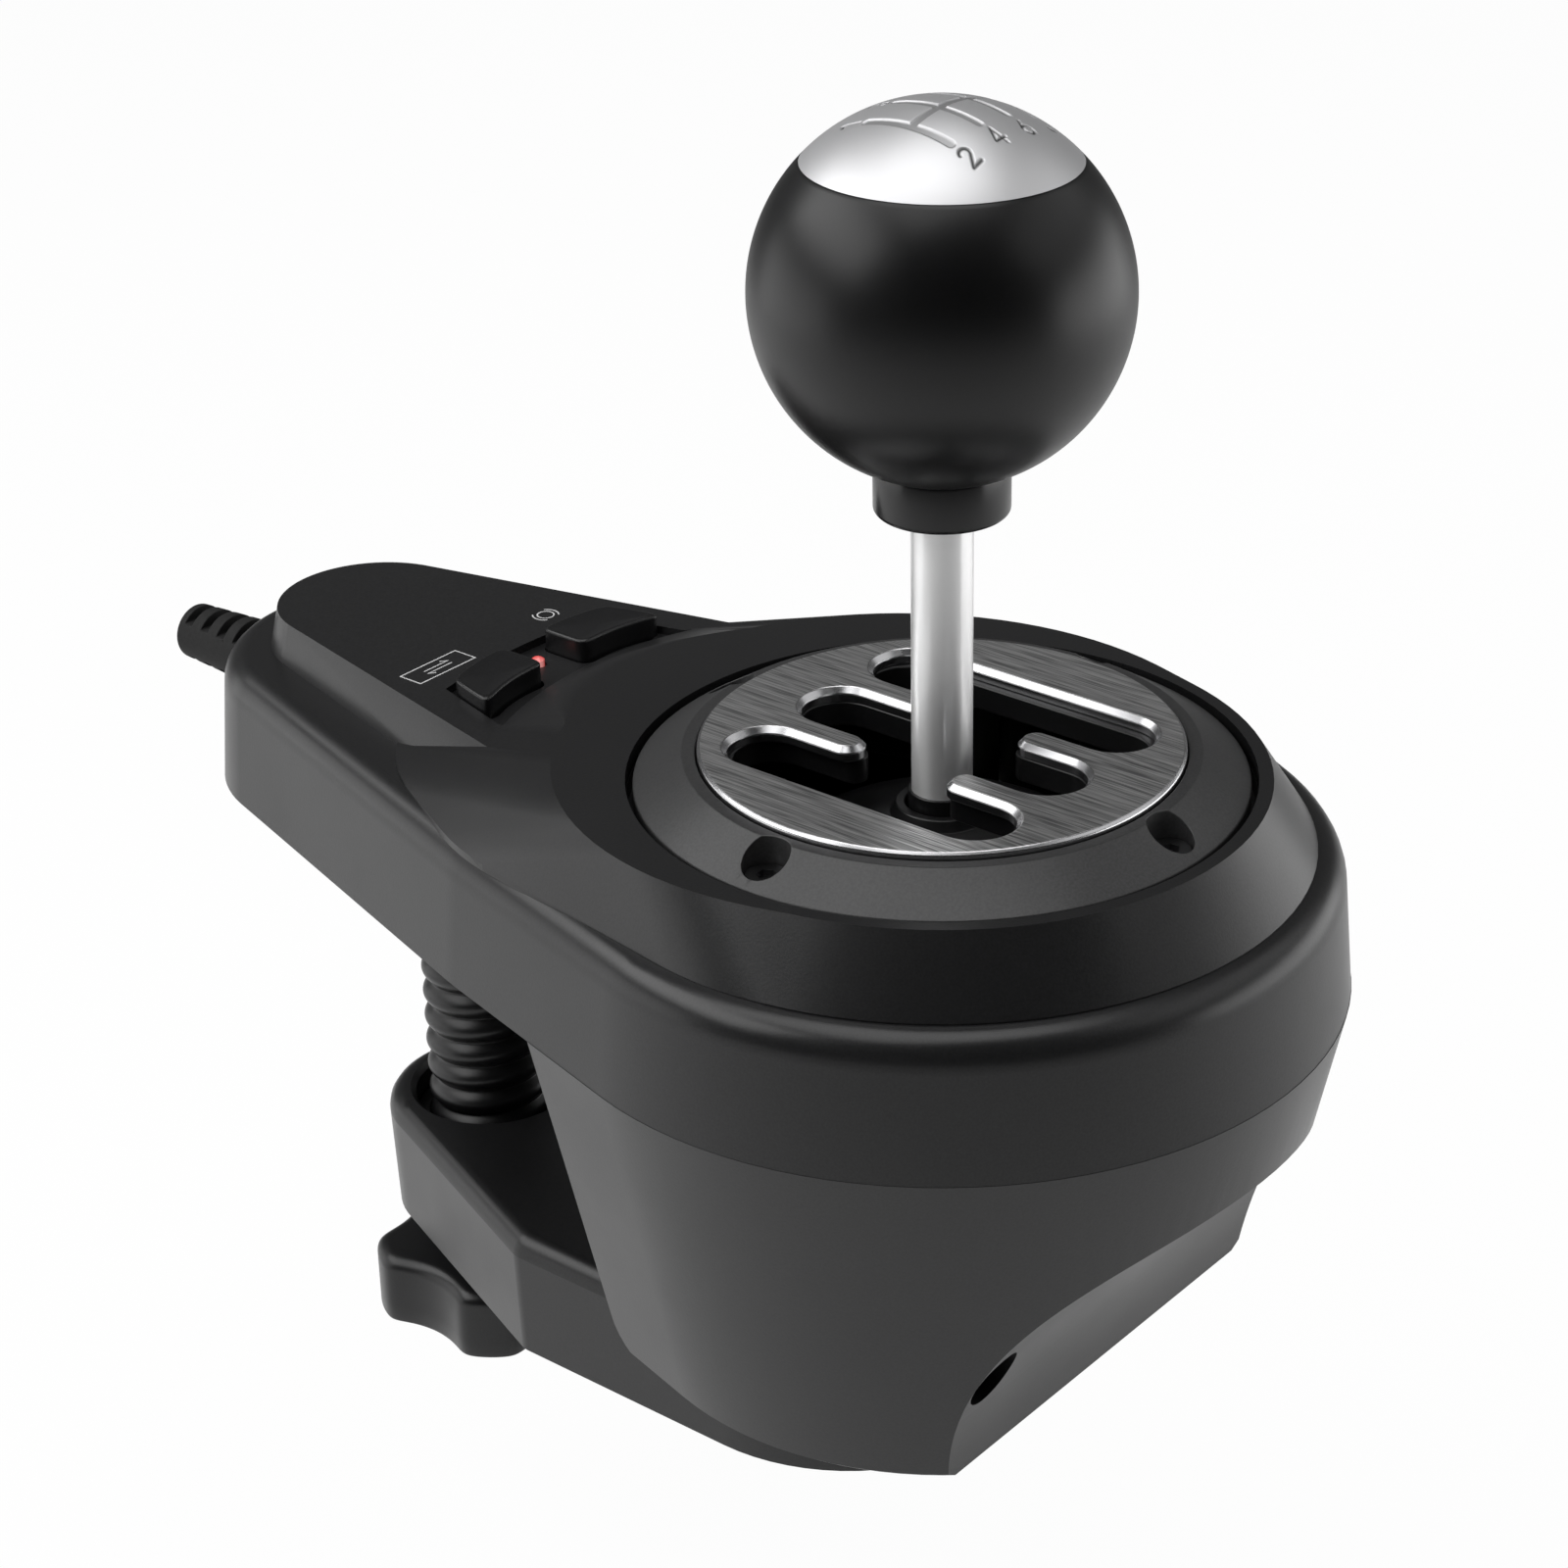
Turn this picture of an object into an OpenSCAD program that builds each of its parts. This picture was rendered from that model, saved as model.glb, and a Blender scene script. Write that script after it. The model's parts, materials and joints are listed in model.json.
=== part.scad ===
// Sim racing gear shifter: an H-gate lever on a two-axis gimbal, with a table clamp.
// Worked out about the lever: X to the driver's right, Y away from the driver towards the
// tail, depths measured down from the top of the gate plate. The finished model is then
// shifted so that its origin lies where the clamp screw's axis meets the upper jaw.

/* [Knob and lever] */
// Diameter of the knob ball
knob_d = 60; // [54:1:66]
// Height of the ball's centre above the gate plate
knob_rise = 75.8; // [70:0.2:90]
// Height of the metal cap's edge above the ball's centre
cap_rise = 20.8; // [16:0.2:23]
// Thickness of the metal cap
cap_t = 3; // [2:0.5:4]
// Diameter of the collar under the ball
collar_d = 21.8; // [18:0.2:26]
// Height of the collar's lower edge above the gate plate
collar_rise = 40; // [36:0.5:42]
// Diameter of the lever rod
rod_d = 10; // [8.6:0.2:10.6]
// Travel of the rod when it is pushed down for reverse
push_travel = 6; // [4:0.5:7]
// Depth of the lever's pivot below the gate plate
pivot_depth = 60; // [58:0.5:62]

/* [Gate] */
// Diameter of the metal gate plate
plate_d = 79.4; // [76:0.2:82]
// Thickness of the metal gate plate
plate_t = 2.5; // [2:0.1:3]
// Distance between neighbouring gear columns
column_pitch = 19.1; // [18.6:0.1:19.8]
// Width of a gear slot
slot_w = 13; // [12:0.1:13.8]
// Reach of a slot from the middle to its round end
slot_reach = 27.4; // [26.8:0.1:28.5]
// Width of the neutral channel
channel_w = 17.8; // [15:0.1:19]
// Bevel along the slot edges
edge_bevel = 1; // [0.4:0.1:1.2]
// Thickness of the plastic guide under the gate plate
guide_t = 4.4; // [3.5:0.1:4.8]
// Width of the gate ring outside the plate
ring_w = 10.5; // [9.8:0.1:11]
// Width of the groove round the gate ring
groove_w = 1.2; // [0.6:0.1:1.6]
// Distance of the ring screws outside the plate's edge
ring_screw_out = 4.9; // [4.6:0.1:5.4]

/* [Body] */
// Radius of the round head at the seam
head_r = 68; // [66:0.5:72]
// Radius of the round tail end at the seam
tail_r = 31.4; // [30:0.2:35]
// Distance from the lever to the centre of the tail end
tail_y = 127.2; // [122:0.2:138]
// Depth of the seam between upper and lower body
seam_depth = 42; // [40:0.5:46]
// Depth of the flat top panel on the tail
panel_depth = 10.3; // [9:0.1:11]
// Depth of the ledge round the tail panel
ledge_depth = 17.6; // [16.5:0.1:18.5]
// Depth of the flat crescent round the gate ring
lip_depth = 5.5; // [5:0.1:6.2]
// Depth of the lower body's floor
base_depth = 107; // [106:0.5:112]
// Inward lean of the lower body's side, per millimetre down
lower_taper = 0.2125; // [0.15:0.0025:0.23]
// Wall thickness of the casings
wall = 2.6; // [2:0.1:3]
// Radius of the hand recess under the front
scoop_r = 62.2; // [58:0.2:66]

/* [Clamp] */
// Distance from the lever to the clamp screw
clamp_y = 107.3; // [104:0.1:112]
// Gap between the two jaws at rest
jaw_gap = 10; // [8:0.5:16]
// How far the clamp arm's top stands above the body's underside
arm_lift = 3; // [2.6:0.1:3.5]
// Height of the clamp arm
arm_h = 24; // [20:0.5:26]
// Width of the clamp arm under the body
arm_w = 74; // [68:1:80]
// Radius of the clamp arm's round end
arm_end_r = 19.6; // [18.6:0.1:22]
// Crest diameter of the clamp screw
screw_d = 23.8; // [20:0.2:24]
// Pitch of the clamp screw
screw_pitch = 5.2; // [4:0.1:6]
// Diameter of the swivel pad
pad_d = 34; // [28:1:40]
// Radius of the star knob over its lobes
star_r = 24; // [22:0.5:28]
// Height of the star knob
star_h = 14; // [12:0.5:16]

/* [Buttons] */
// Width of a button
button_w = 17.5; // [14:0.5:18]
// Length of a button along the tail
button_l = 11; // [9:0.5:12]
// Gap between the two buttons
button_gap = 10; // [8:0.5:12]
// Height of a button above the tail panel
button_rise = 2.7; // [2:0.1:3.5]
// Travel of a button
button_travel = 1.2; // [0.6:0.1:1.5]

/* [Cable relief] */
// Length of the cable relief behind the tail
relief_l = 21; // [16:1:30]
// Diameter of the cable relief at its tip
relief_d = 10.6; // [8:0.2:12]
// Depth of the cable relief's axis
relief_depth = 29.8; // [28:0.2:32]
// Diameter of the cable hole
cable_d = 4.6; // [3.5:0.1:6]

/* [Hidden] */
$fn = 64;
skin = 0.01;            // thickness of a slice that a hull joins to the next one
fit = 0.05;             // radial clearance of a running fit
slip = 0.3;             // clearance between parts that must not touch
seat = 0.2;             // clearance round a part that drops into a pocket
over = 1;               // how far a cut runs past the face that it opens
far = 100;              // half the width of a cut that runs right across the body

jaw_pad_t = 2;
jaw_pad_w = 53.6;
ring_d = plate_d + 2 * ring_w;
ring_screw_r = plate_d / 2 + ring_screw_out;
ring_head_r = 3.4;
jaw_depth = seam_depth + 1;
rod_r = rod_d / 2;
bore_r = rod_r + fit;
half_slot = slot_w / 2;
guide_scale = (pivot_depth - plate_t - guide_t / 2) / pivot_depth;
guide_pitch = column_pitch * guide_scale;
select_angle = atan(column_pitch / pivot_depth);
shift_angle = atan((slot_reach - rod_r - 2) * cos(select_angle) / pivot_depth);

// Body outline in plan: distance from the lever and radius of the circles it wraps
mid_y = 45;
mid_r = head_r - 11.5;
rim_circles = [[0, head_r], [mid_y, mid_r], [tail_y, tail_r]];
wall_draft = 1.6;
shoulder_in = 4.8;
wall_top = ledge_depth + 6;
function rim_profile(inset, cut) = concat([[inset, seam_depth + over]],
    [for (a = [0:15:90]) [inset + wall_draft + shoulder_in * (1 - cos(a)),
        wall_top + (cut - wall_top) * sin(a)]]);

crown_y = 9.5;
lip_r = ring_d / 2 + groove_w + 2.4;
crown_r = lip_r + 2.6;
foot_r = head_r - wall_draft - shoulder_in;
foot_lip = 0.3;         // how far the crown rises straight before it slopes
crown_feet = [[0, foot_r - 0.2], [42, foot_r - 7.2], [59.2, foot_r - 14.8]];
tab_top = [31.1, 37.9];
tab_foot = [45, 36];
ring_seat = 12;
ring_bore_r = plate_d / 2 + slip;
ledge_bore_r = plate_d / 2 + 1.3;
stack = plate_t + guide_t;

panel_circles = [[60, 33.5, 38.5], [129.5, 17.7, 19.6]];
back_wall_y = 38;
back_lean = 5;
floor_t = 3;
scoop_y = -95.5;
scoop_depth = 113.4;
column_x = ring_d / 2 - 3.7;
column_y = 17;
column_r = 4.6;
pocket_x = 38;
pocket_depth = 87;
pocket_r = 5.2;

pin_r = 3;
block_r = 12;
block_w = 20;
cup_r = 8.5;
cup_bore = 6.3;
spring_solid = 6.3;      // length of the return spring when it is pressed flat
cup_end = base_depth - 9;
cup_floor = cup_end - 9.5;
rod_end = cup_floor - push_travel - spring_solid;
cup_top = rod_end - 2.2;
plunger_top = cup_floor + 5.2;
plunger_bore_top = cup_floor + 1.7;
nose_r = 2.5;
nose_depth = base_depth - 5.5;
dish_r = nose_depth - pivot_depth + slip;
dish_d = 39;
yoke_x = 17.5;
yoke_y = 19;
yoke_in_y = 13;
yoke_h = 14;
ear_y = 20;
ear_t = 5;
cradle_t = 4;
cradle_x = 29;
sensor_w = 22;
lug_x = 41.4;
lug_w = 8;
lug_l = 9.8;
pocket_seat = 22;
spigot = 3;
cover_t = 2.5;
cover_draft = wall_draft * (cover_t + over) / (seam_depth + over - wall_top);
arm_screw_x = 22;
arm_screw_y = [-4, 9];
arm_seat_t = 6;
back_round = 8;
cover_post_at = [[29.5, 62], [15, 146]];
post_r = 3.4;
board_post_x = 16;
board_post_y = [75, 122];
dome_r = pivot_depth - 12.2;
dome_t = 1.6;
dome_edge = 41;
bezel_depth = 11;
bezel_r = 7.6;
sleeve_top = 20;
sleeve_r = 6.8;

board_depth = 20.5;
board_t = 1.6;
recess_depth = panel_depth + 1.5;
button_top = panel_depth - button_rise;
button_arc = 82.5;
button_bow = 26;        // radius of the hollow in a button's front edge
button_lean = 0.277;
recess_back = 1.5;
switch_h = 3;
stem_end = board_depth - switch_h - button_travel - slip;
led_y = 89.5;

pad_top = jaw_depth + jaw_gap;
pad_t = 5;
facing_t = 1.5;
screw_top = pad_top + pad_t;
arm_top = base_depth - arm_lift;
arm_bottom = arm_top + arm_h;
nut_top = arm_top + 5;
star_top = arm_bottom + jaw_gap - over;
star_lobes = 5;
star_turn = 36;
star_rim = 3;
lobe_round = 3;
hollow_r = 8;
hollow_d = 6;
corner_y = 66;
arm_front_y = 20;
rig_x = 20;
rig_y = [30, 70];
rig_bore_r = 2.5;

// Everything below is placed in the finished model's frame by this
module at_jaw() translate([0, -clamp_y, jaw_depth]) children();

// A screw with a round head, its head's underside at the origin, pointing down
module screw(shank_r, length, head_r, head_h) {
    translate([0, 0, -length]) cylinder(r = shank_r, h = length, $fn = 24);
    difference() {
        cylinder(r = head_r, h = head_h, $fn = 32);
        translate([0, 0, head_h / 2]) cylinder(r = head_r / 2, h = head_h, $fn = 6);
    }
}

// A coil spring about Z from the origin up, wound from round wire
module coil(r, wire_r, turns, height) {
    steps = 12;
    sides = 6;
    rings = turns * steps;
    points = [for (i = [0:rings]) let (a = i * 360 / steps) for (j = [0:sides - 1])
        let (b = j * 360 / sides, q = r + wire_r * cos(b))
        [q * cos(a), q * sin(a), wire_r + (height - 2 * wire_r) * i / rings + wire_r * sin(b)]];
    skin_faces = [for (i = [0:rings - 1]) for (j = [0:sides - 1])
        let (k = (j + 1) % sides, p = i * sides, q = p + sides)
        each [[p + j, q + j, q + k], [p + j, q + k, p + k]]];
    first = [for (j = [1:sides - 2]) [0, j, j + 1]];
    last = [for (j = [1:sides - 2]) [rings * sides, rings * sides + j + 1, rings * sides + j]];
    polyhedron(points, concat(skin_faces, first, last), convexity = 6);
}

// Body forms

// Teardrop body above the seam, drawn in by inset, with its rounded shoulder ending at cut
module rim_form(inset, cut) {
    hull() for (p = rim_profile(inset, cut)) for (c = rim_circles)
        translate([0, c[0], -p[1]]) cylinder(r = c[1] - p[0], h = skin, $fn = 96);
}

// Raised crown of the head, its sides falling to the ledge
module crown_form(inset, top) {
    hull() {
        translate([0, 0, -top - skin]) cylinder(r = lip_r - inset, h = skin, $fn = 96);
        translate([0, crown_y, -top - skin]) cylinder(r = crown_r - inset, h = skin, $fn = 96);
        for (c = crown_feet) translate([0, c[0], -ledge_depth - over - inset])
            cylinder(r = c[1] - inset, h = over + inset + foot_lip, $fn = 96);
    }
}

// Tab of the crescent that runs back over the tail: a cone sheared so that its back is gentle
module tab_form(inset, top) {
    drop = panel_depth - top;
    shear = (tab_top[0] - tab_foot[0]) / (panel_depth - lip_depth);
    translate([0, tab_foot[0], -panel_depth])
        multmatrix([[1, 0, 0, 0], [0, 1, shear, 0], [0, 0, 1, 0], [0, 0, 0, 1]])
            cylinder(r1 = tab_foot[1] - inset, r2 = tab_top[1] - inset, h = drop);
}

// Raised panel that narrows towards the tail's end
module panel_form(inset, top) {
    hull() for (c = panel_circles) translate([0, c[0], -ledge_depth - over - inset])
        cylinder(r1 = c[2] - inset, r2 = c[1] - inset, h = ledge_depth + over + inset - top, $fn = 72);
}

module upper_form(inset) {
    rim_form(inset, ledge_depth + inset);
    crown_form(inset, lip_depth + inset);
    tab_form(inset, lip_depth + inset);
    panel_form(inset, panel_depth + inset);
}

// Outer side of a button, which leans in towards the tail like the panel's edge
function button_side(y) = button_gap / 2 + button_w - button_lean * (y - button_arc + 1.5);

// Plan of one button between two arcs about the lever, its front edge hollowed out
module button_plan(grow) {
    reach = button_arc + 2 * button_l;
    offset(r = 2 + grow, $fn = 24) offset(delta = -2) intersection() {
        polygon([[button_gap / 2, 0], [button_side(0), 0], [button_side(reach), reach],
            [button_gap / 2, reach]]);
        difference() {
            translate([0, button_l]) circle(r = button_arc, $fn = 160);
            circle(r = button_arc, $fn = 160);
            rotate(-asin((button_gap + button_w) / 2 / button_arc))
                translate([0, chord_at(button_arc) - chord_at(button_bow)])
                    circle(r = button_bow, $fn = 160);
        }
    }
}

// Distance from the centre of a circle to a chord as long as a button is wide
function chord_at(r) = sqrt(pow(r, 2) - pow(button_w / 2, 2));

// Plan of the shallow recess that both buttons stand in
module recess_plan() {
    reach = button_arc + 2 * button_l;
    intersection() {
        polygon([for (p = [[-1, 0], [1, 0], [1, reach], [-1, reach]])
            [p[0] * (button_side(p[1]) + slip), p[1]]]);
        difference() {
            circle(r = button_arc + button_l + recess_back, $fn = 160);
            circle(r = button_arc - 4, $fn = 160);
        }
    }
}

module recess_cut() {
    translate([0, 0, -recess_depth]) linear_extrude(recess_depth) recess_plan();
}

module button_holes() {
    for (s = [-1, 1]) translate([0, 0, -recess_depth - wall - over])
        linear_extrude(wall + 2 * over) scale([s, 1]) button_plan(slip);
}

module board_places() {
    for (x = [-board_post_x, board_post_x]) for (y = board_post_y) translate([x, y, 0]) children();
}

module cover_places() {
    for (p = cover_post_at) for (s = [-1, 1]) translate([s * p[0], p[1], 0]) children();
}

module cover_posts() {
    height = seam_depth - cover_t - ledge_depth - over;
    cover_places() translate([0, 0, -seam_depth + cover_t]) cylinder(r = post_r, h = height);
    for (s = [-1, 1]) translate([s * cover_post_at[0][0], cover_post_at[0][1], -ledge_depth - 2 * over])
        cylinder(r = post_r, h = ledge_depth + 2 * over - panel_depth);
}

module board_posts() {
    board_places() translate([0, 0, -board_depth])
        cylinder(r = 3, h = board_depth - panel_depth - over);
}

module column_places() {
    for (x = [-column_x, column_x]) for (y = [-column_y, column_y]) translate([x, y, 0]) children();
}

module ring_places() {
    for (a = [0:90:270]) rotate(a) translate([ring_screw_r, 0, 0]) children();
}

// Casing

module upper_shell() {
    color("#232323") difference() {
        union() {
            difference() {
                upper_form(0);
                difference() {
                    upper_form(wall);
                    recess_backing();
                }
            }
            translate([0, 0, -ring_seat - 3]) cylinder(r = lip_r + 1, h = 6, $fn = 96);
            ring_places() translate([0, 0, -ring_seat - 10]) cylinder(r = post_r, h = 8);
            column_places() translate([0, 0, -seam_depth - spigot])
                cylinder(r = column_r, h = seam_depth + spigot - ring_seat - 2);
            board_posts();
            cover_posts();
            translate([0, tail_y + tail_r - wall - 3, -relief_depth]) rotate([-90, 0, 0])
                cylinder(r = relief_d / 2 + 3.5, h = 3.5);
        }
        translate([0, 0, -ring_seat]) cylinder(r = ring_d / 2 + groove_w, h = ring_seat, $fn = 96);
        translate([0, 0, -ring_seat - 5]) cylinder(r = ledge_bore_r, h = 6, $fn = 96);
        ring_places() translate([0, 0, -ring_seat - 9]) cylinder(r = 1.5 + fit, h = 12, $fn = 24);
        column_places() translate([0, 0, -seam_depth - 4]) cylinder(r = 1.6 + fit, h = 20, $fn = 24);
        recess_cut();
        button_holes();
        translate([0, led_y, -board_depth]) cylinder(r = 1.5 + fit, h = board_depth, $fn = 24);
        translate([0, tail_y + tail_r - 12, -relief_depth]) rotate([-90, 0, 0])
            cylinder(r = relief_d / 2 + fit, h = 14);
        cover_places() translate([0, 0, -seam_depth]) cylinder(r = 1.3, h = 12, $fn = 24);
        board_places() translate([0, 0, -board_depth - over]) cylinder(r = 1, h = 6 + over, $fn = 24);
        difference() {
            translate([-far, -far, -seam_depth - spigot - over]) cube([2 * far, 3 * far, spigot + over]);
            column_places() translate([0, 0, -seam_depth - spigot]) cylinder(r = column_r, h = 2 * spigot);
        }
    }
}

// Thickened floor under the button recess
module recess_backing() {
    translate([0, 0, -recess_depth - wall]) linear_extrude(recess_depth) offset(delta = 2) recess_plan();
}

// Lower body before it is hollowed: leaning sides, cut off square behind and scooped in front
module lower_form(inset) {
    height = base_depth - seam_depth;
    chamfer = 1.4;
    difference() {
        hull() for (c = [[0, head_r], [mid_y, mid_r]]) {
            translate([0, c[0], -seam_depth - skin]) cylinder(r = c[1] - inset, h = skin, $fn = 96);
            translate([0, c[0], -base_depth + chamfer])
                cylinder(r = c[1] - inset - lower_taper * (height - chamfer), h = skin, $fn = 96);
            translate([0, c[0], -base_depth])
                cylinder(r = c[1] - inset - lower_taper * height - chamfer, h = skin, $fn = 96);
        }
        translate([-far, 0, 0]) rotate([90, 0, 90]) linear_extrude(2 * far) back_cut(inset);
        translate([-far, scoop_y, -scoop_depth]) rotate([0, 90, 0])
            cylinder(r = scoop_r + inset, h = 2 * far, $fn = 128);
    }
}

// What is cut away behind the leaning back wall, seen from the side; its lower corner is round
module back_cut(inset) {
    corner = back_round - inset;
    foot_y = back_wall_y - (base_depth - seam_depth) * tan(back_lean);
    wall_y = foot_y + back_round * tan(back_lean) - inset / cos(back_lean);
    difference() {
        translate([0, -base_depth - over]) square([2 * far, base_depth - seam_depth + 2 * over]);
        polygon(concat(
            [[-over, 2 * over - seam_depth], [back_wall_y - inset / cos(back_lean)
                + 2 * over * tan(back_lean), 2 * over - seam_depth]],
            [for (a = [0:15:90]) [wall_y - corner + corner * cos(a),
                back_round - base_depth - corner * sin(a)]],
            [[-over, inset - base_depth]]));
    }
}

module lower_shell() {
    color("#2b2b2b") difference() {
        union() {
            difference() {
                lower_form(0);
                intersection() {
                    lower_form(wall + 0.4);
                    translate([-far, -far, -base_depth + floor_t]) cube([2 * far, 2 * far, base_depth]);
                }
            }
            intersection() {
                lower_form(0);
                union() {
                    column_places() translate([0, 0, -base_depth])
                        cylinder(r = column_r, h = base_depth - seam_depth - spigot);
                    for (s = [-1, 1]) translate([s * pocket_x, -60, -pocket_depth]) rotate([-90, 0, 0])
                        cylinder(r = pocket_r + 2, h = 60 - pocket_seat);
                }
            }
        }
        column_places() {
            translate([0, 0, -base_depth - over])
                cylinder(r = 3.4, h = base_depth - seam_depth - 12 + over, $fn = 32);
            translate([0, 0, -base_depth]) cylinder(r = 1.7, h = base_depth, $fn = 24);
        }
        for (s = [-1, 1]) translate([s * pocket_x, -70, -pocket_depth]) rotate([-90, 0, 0]) {
            cylinder(r = pocket_r, h = 70 - pocket_seat - 4);
            cylinder(r = 1.7, h = 60, $fn = 24);
        }
        cradle_places() translate([0, 0, -base_depth - over]) cylinder(r = 1.45, h = 9, $fn = 24);
        arm_places() translate([0, 0, -base_depth - over]) cylinder(r = 2, h = 9, $fn = 24);
    }
}

module tail_cover() {
    color("#262626") difference() {
        intersection() {
            translate([0, 0, -seam_depth]) linear_extrude(cover_t)
                offset(delta = -wall - seat - cover_draft)
                hull() for (c = rim_circles) translate([0, c[0]]) circle(r = c[1], $fn = 96);
            translate([-far, back_wall_y + seat, -seam_depth - over]) cube([2 * far, 2 * far, 10]);
        }
        translate([-jaw_pad_w / 2 - seat, clamp_y - jaw_pad_w / 2 - seat, -seam_depth - over])
            cube([jaw_pad_w + 2 * seat, jaw_pad_w + 2 * seat, 2 * over]);
        cover_places() translate([0, 0, -seam_depth - over]) {
            cylinder(r = 1.5, h = cover_t + 2 * over, $fn = 24);
            cylinder(r = 2.9, h = over + 1.2, $fn = 32);
        }
    }
}

module cover_screws() {
    color("#4a4a4a") cover_places() translate([0, 0, -seam_depth + 1.2]) rotate([180, 0, 0])
        screw(1.25, 8, 2.6, 1.1);
}

module upper_jaw_pad() {
    color("#141414") translate([-jaw_pad_w / 2, clamp_y - jaw_pad_w / 2, -jaw_depth])
        cube([jaw_pad_w, jaw_pad_w, jaw_pad_t]);
}

// Gate

// Slots and neutral channel, each slot a box with round ends, grown by grow at this depth
module gate_cut(pitch, grow, deep) {
    r = half_slot + grow;
    for (x = [-pitch, 0, pitch]) {
        translate([x - r, -slot_reach + half_slot, 0])
            cube([2 * r, 2 * (slot_reach - half_slot), deep]);
        for (s = [-1, 1]) translate([x, s * (slot_reach - half_slot), 0]) cylinder(r = r, h = deep);
    }
    translate([-pitch, -channel_w / 2 - (pitch / 2 - half_slot), 0])
        cube([2 * pitch, channel_w + pitch - slot_w, deep]);
}

// Round ends of the four fingers that stand between the columns
module finger_tips(pitch, deep) {
    r = pitch / 2 - half_slot;
    for (x = [-pitch / 2, pitch / 2]) for (s = [-1, 1])
        translate([x, s * (channel_w / 2 + r), 0]) cylinder(r = r, h = deep);
}

// Bevel along every edge of the slots: sloped prisms with cones at the round ends
module slot_bevels() {
    length = 2 * (slot_reach - half_slot);
    for (x = [-column_pitch, 0, column_pitch]) {
        translate([x, 0, 0]) rotate([90, 0, 0]) translate([0, 0, -length / 2])
            linear_extrude(length) polygon([[-half_slot, -edge_bevel], [half_slot, -edge_bevel],
                [half_slot + edge_bevel + 0.2, 0.2], [-half_slot - edge_bevel - 0.2, 0.2]]);
        for (s = [-1, 1]) translate([x, s * length / 2, -edge_bevel])
            cylinder(r1 = half_slot, r2 = half_slot + edge_bevel + 0.2, h = edge_bevel + 0.2);
    }
}

module gate_plate() {
    r = column_pitch / 2 - half_slot;
    color("#9a9a9a") difference() {
        union() {
            difference() {
                translate([0, 0, -plate_t]) {
                    cylinder(r = plate_d / 2, h = plate_t - 0.5, $fn = 128);
                    translate([0, 0, plate_t - 0.5])
                        cylinder(r1 = plate_d / 2, r2 = plate_d / 2 - 0.5, h = 0.5, $fn = 128);
                }
                translate([0, 0, -plate_t - over]) gate_cut(column_pitch, 0, plate_t + 2 * over);
            }
            translate([0, 0, -plate_t]) finger_tips(column_pitch, plate_t - edge_bevel);
            for (x = [-column_pitch / 2, column_pitch / 2]) for (s = [-1, 1])
                translate([x, s * (channel_w / 2 + r), -edge_bevel])
                    cylinder(r1 = r, r2 = r - edge_bevel, h = edge_bevel);
        }
        slot_bevels();
    }
}

module gate_guide() {
    color("#181818") translate([0, 0, -stack]) difference() {
        cylinder(r = plate_d / 2, h = guide_t, $fn = 128);
        difference() {
            translate([0, 0, -over]) gate_cut(guide_pitch, 0, guide_t + 2 * over);
            translate([0, 0, -over]) finger_tips(guide_pitch, guide_t + 2 * over);
        }
    }
}

module gate_ring() {
    color("#2e2e2e") difference() {
        rotate_extrude($fn = 128) polygon([
            [ring_bore_r, -1.1], [ring_bore_r + 2.2, -1.1], [ring_d / 2, -6.1],
            [ring_d / 2, -ring_seat], [ledge_bore_r + 0.5, -ring_seat],
            [ledge_bore_r + 0.5, -stack - 3], [plate_d / 2 - 3.2, -stack - 3],
            [plate_d / 2 - 3.2, -stack], [ring_bore_r, -stack]]);
        ring_places() {
            translate([0, 0, -8]) cylinder(r = ring_head_r + 0.45, h = 8, $fn = 48);
            translate([0, 0, -ring_seat - over]) cylinder(r = 1.7, h = 8, $fn = 24);
        }
    }
}

module ring_screws() {
    color("#3a3a3a") ring_places() translate([0, 0, -8]) screw(1.5, 12, ring_head_r, 2.2);
}

// Fasteners of the casing

module shell_screws() {
    color("#4a4a4a") column_places() translate([0, 0, -seam_depth - 12]) rotate([180, 0, 0])
        screw(1.6, 20, 3, 2.4);
}

module front_screws() {
    color("#4a4a4a") for (s = [-1, 1]) translate([s * pocket_x, -pocket_seat - 4, -pocket_depth])
        rotate([90, 0, 0]) screw(1.6, 12, 4, 2.6);
}

module arm_places() {
    for (x = [-arm_screw_x, arm_screw_x]) for (y = arm_screw_y) translate([x, y, 0]) children();
}

module arm_screws() {
    color("#4a4a4a") arm_places() translate([0, 0, -base_depth - arm_seat_t]) rotate([180, 0, 0])
        screw(1.9, arm_seat_t + floor_t + cradle_t - 0.5, 3.6, 3);
}

// Clamp

// Plan of the clamp arm as circles: wide under the body, narrow round the screw
module arm_slice(inset, depth) {
    for (c = [[0, arm_front_y, arm_w / 2], [arm_w / 2 - 6, corner_y, 6],
            [6 - arm_w / 2, corner_y, 6], [0, clamp_y, arm_end_r]])
        translate([c[0], c[1], -depth]) cylinder(r = c[2] - inset, h = skin, $fn = 72);
}

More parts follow.
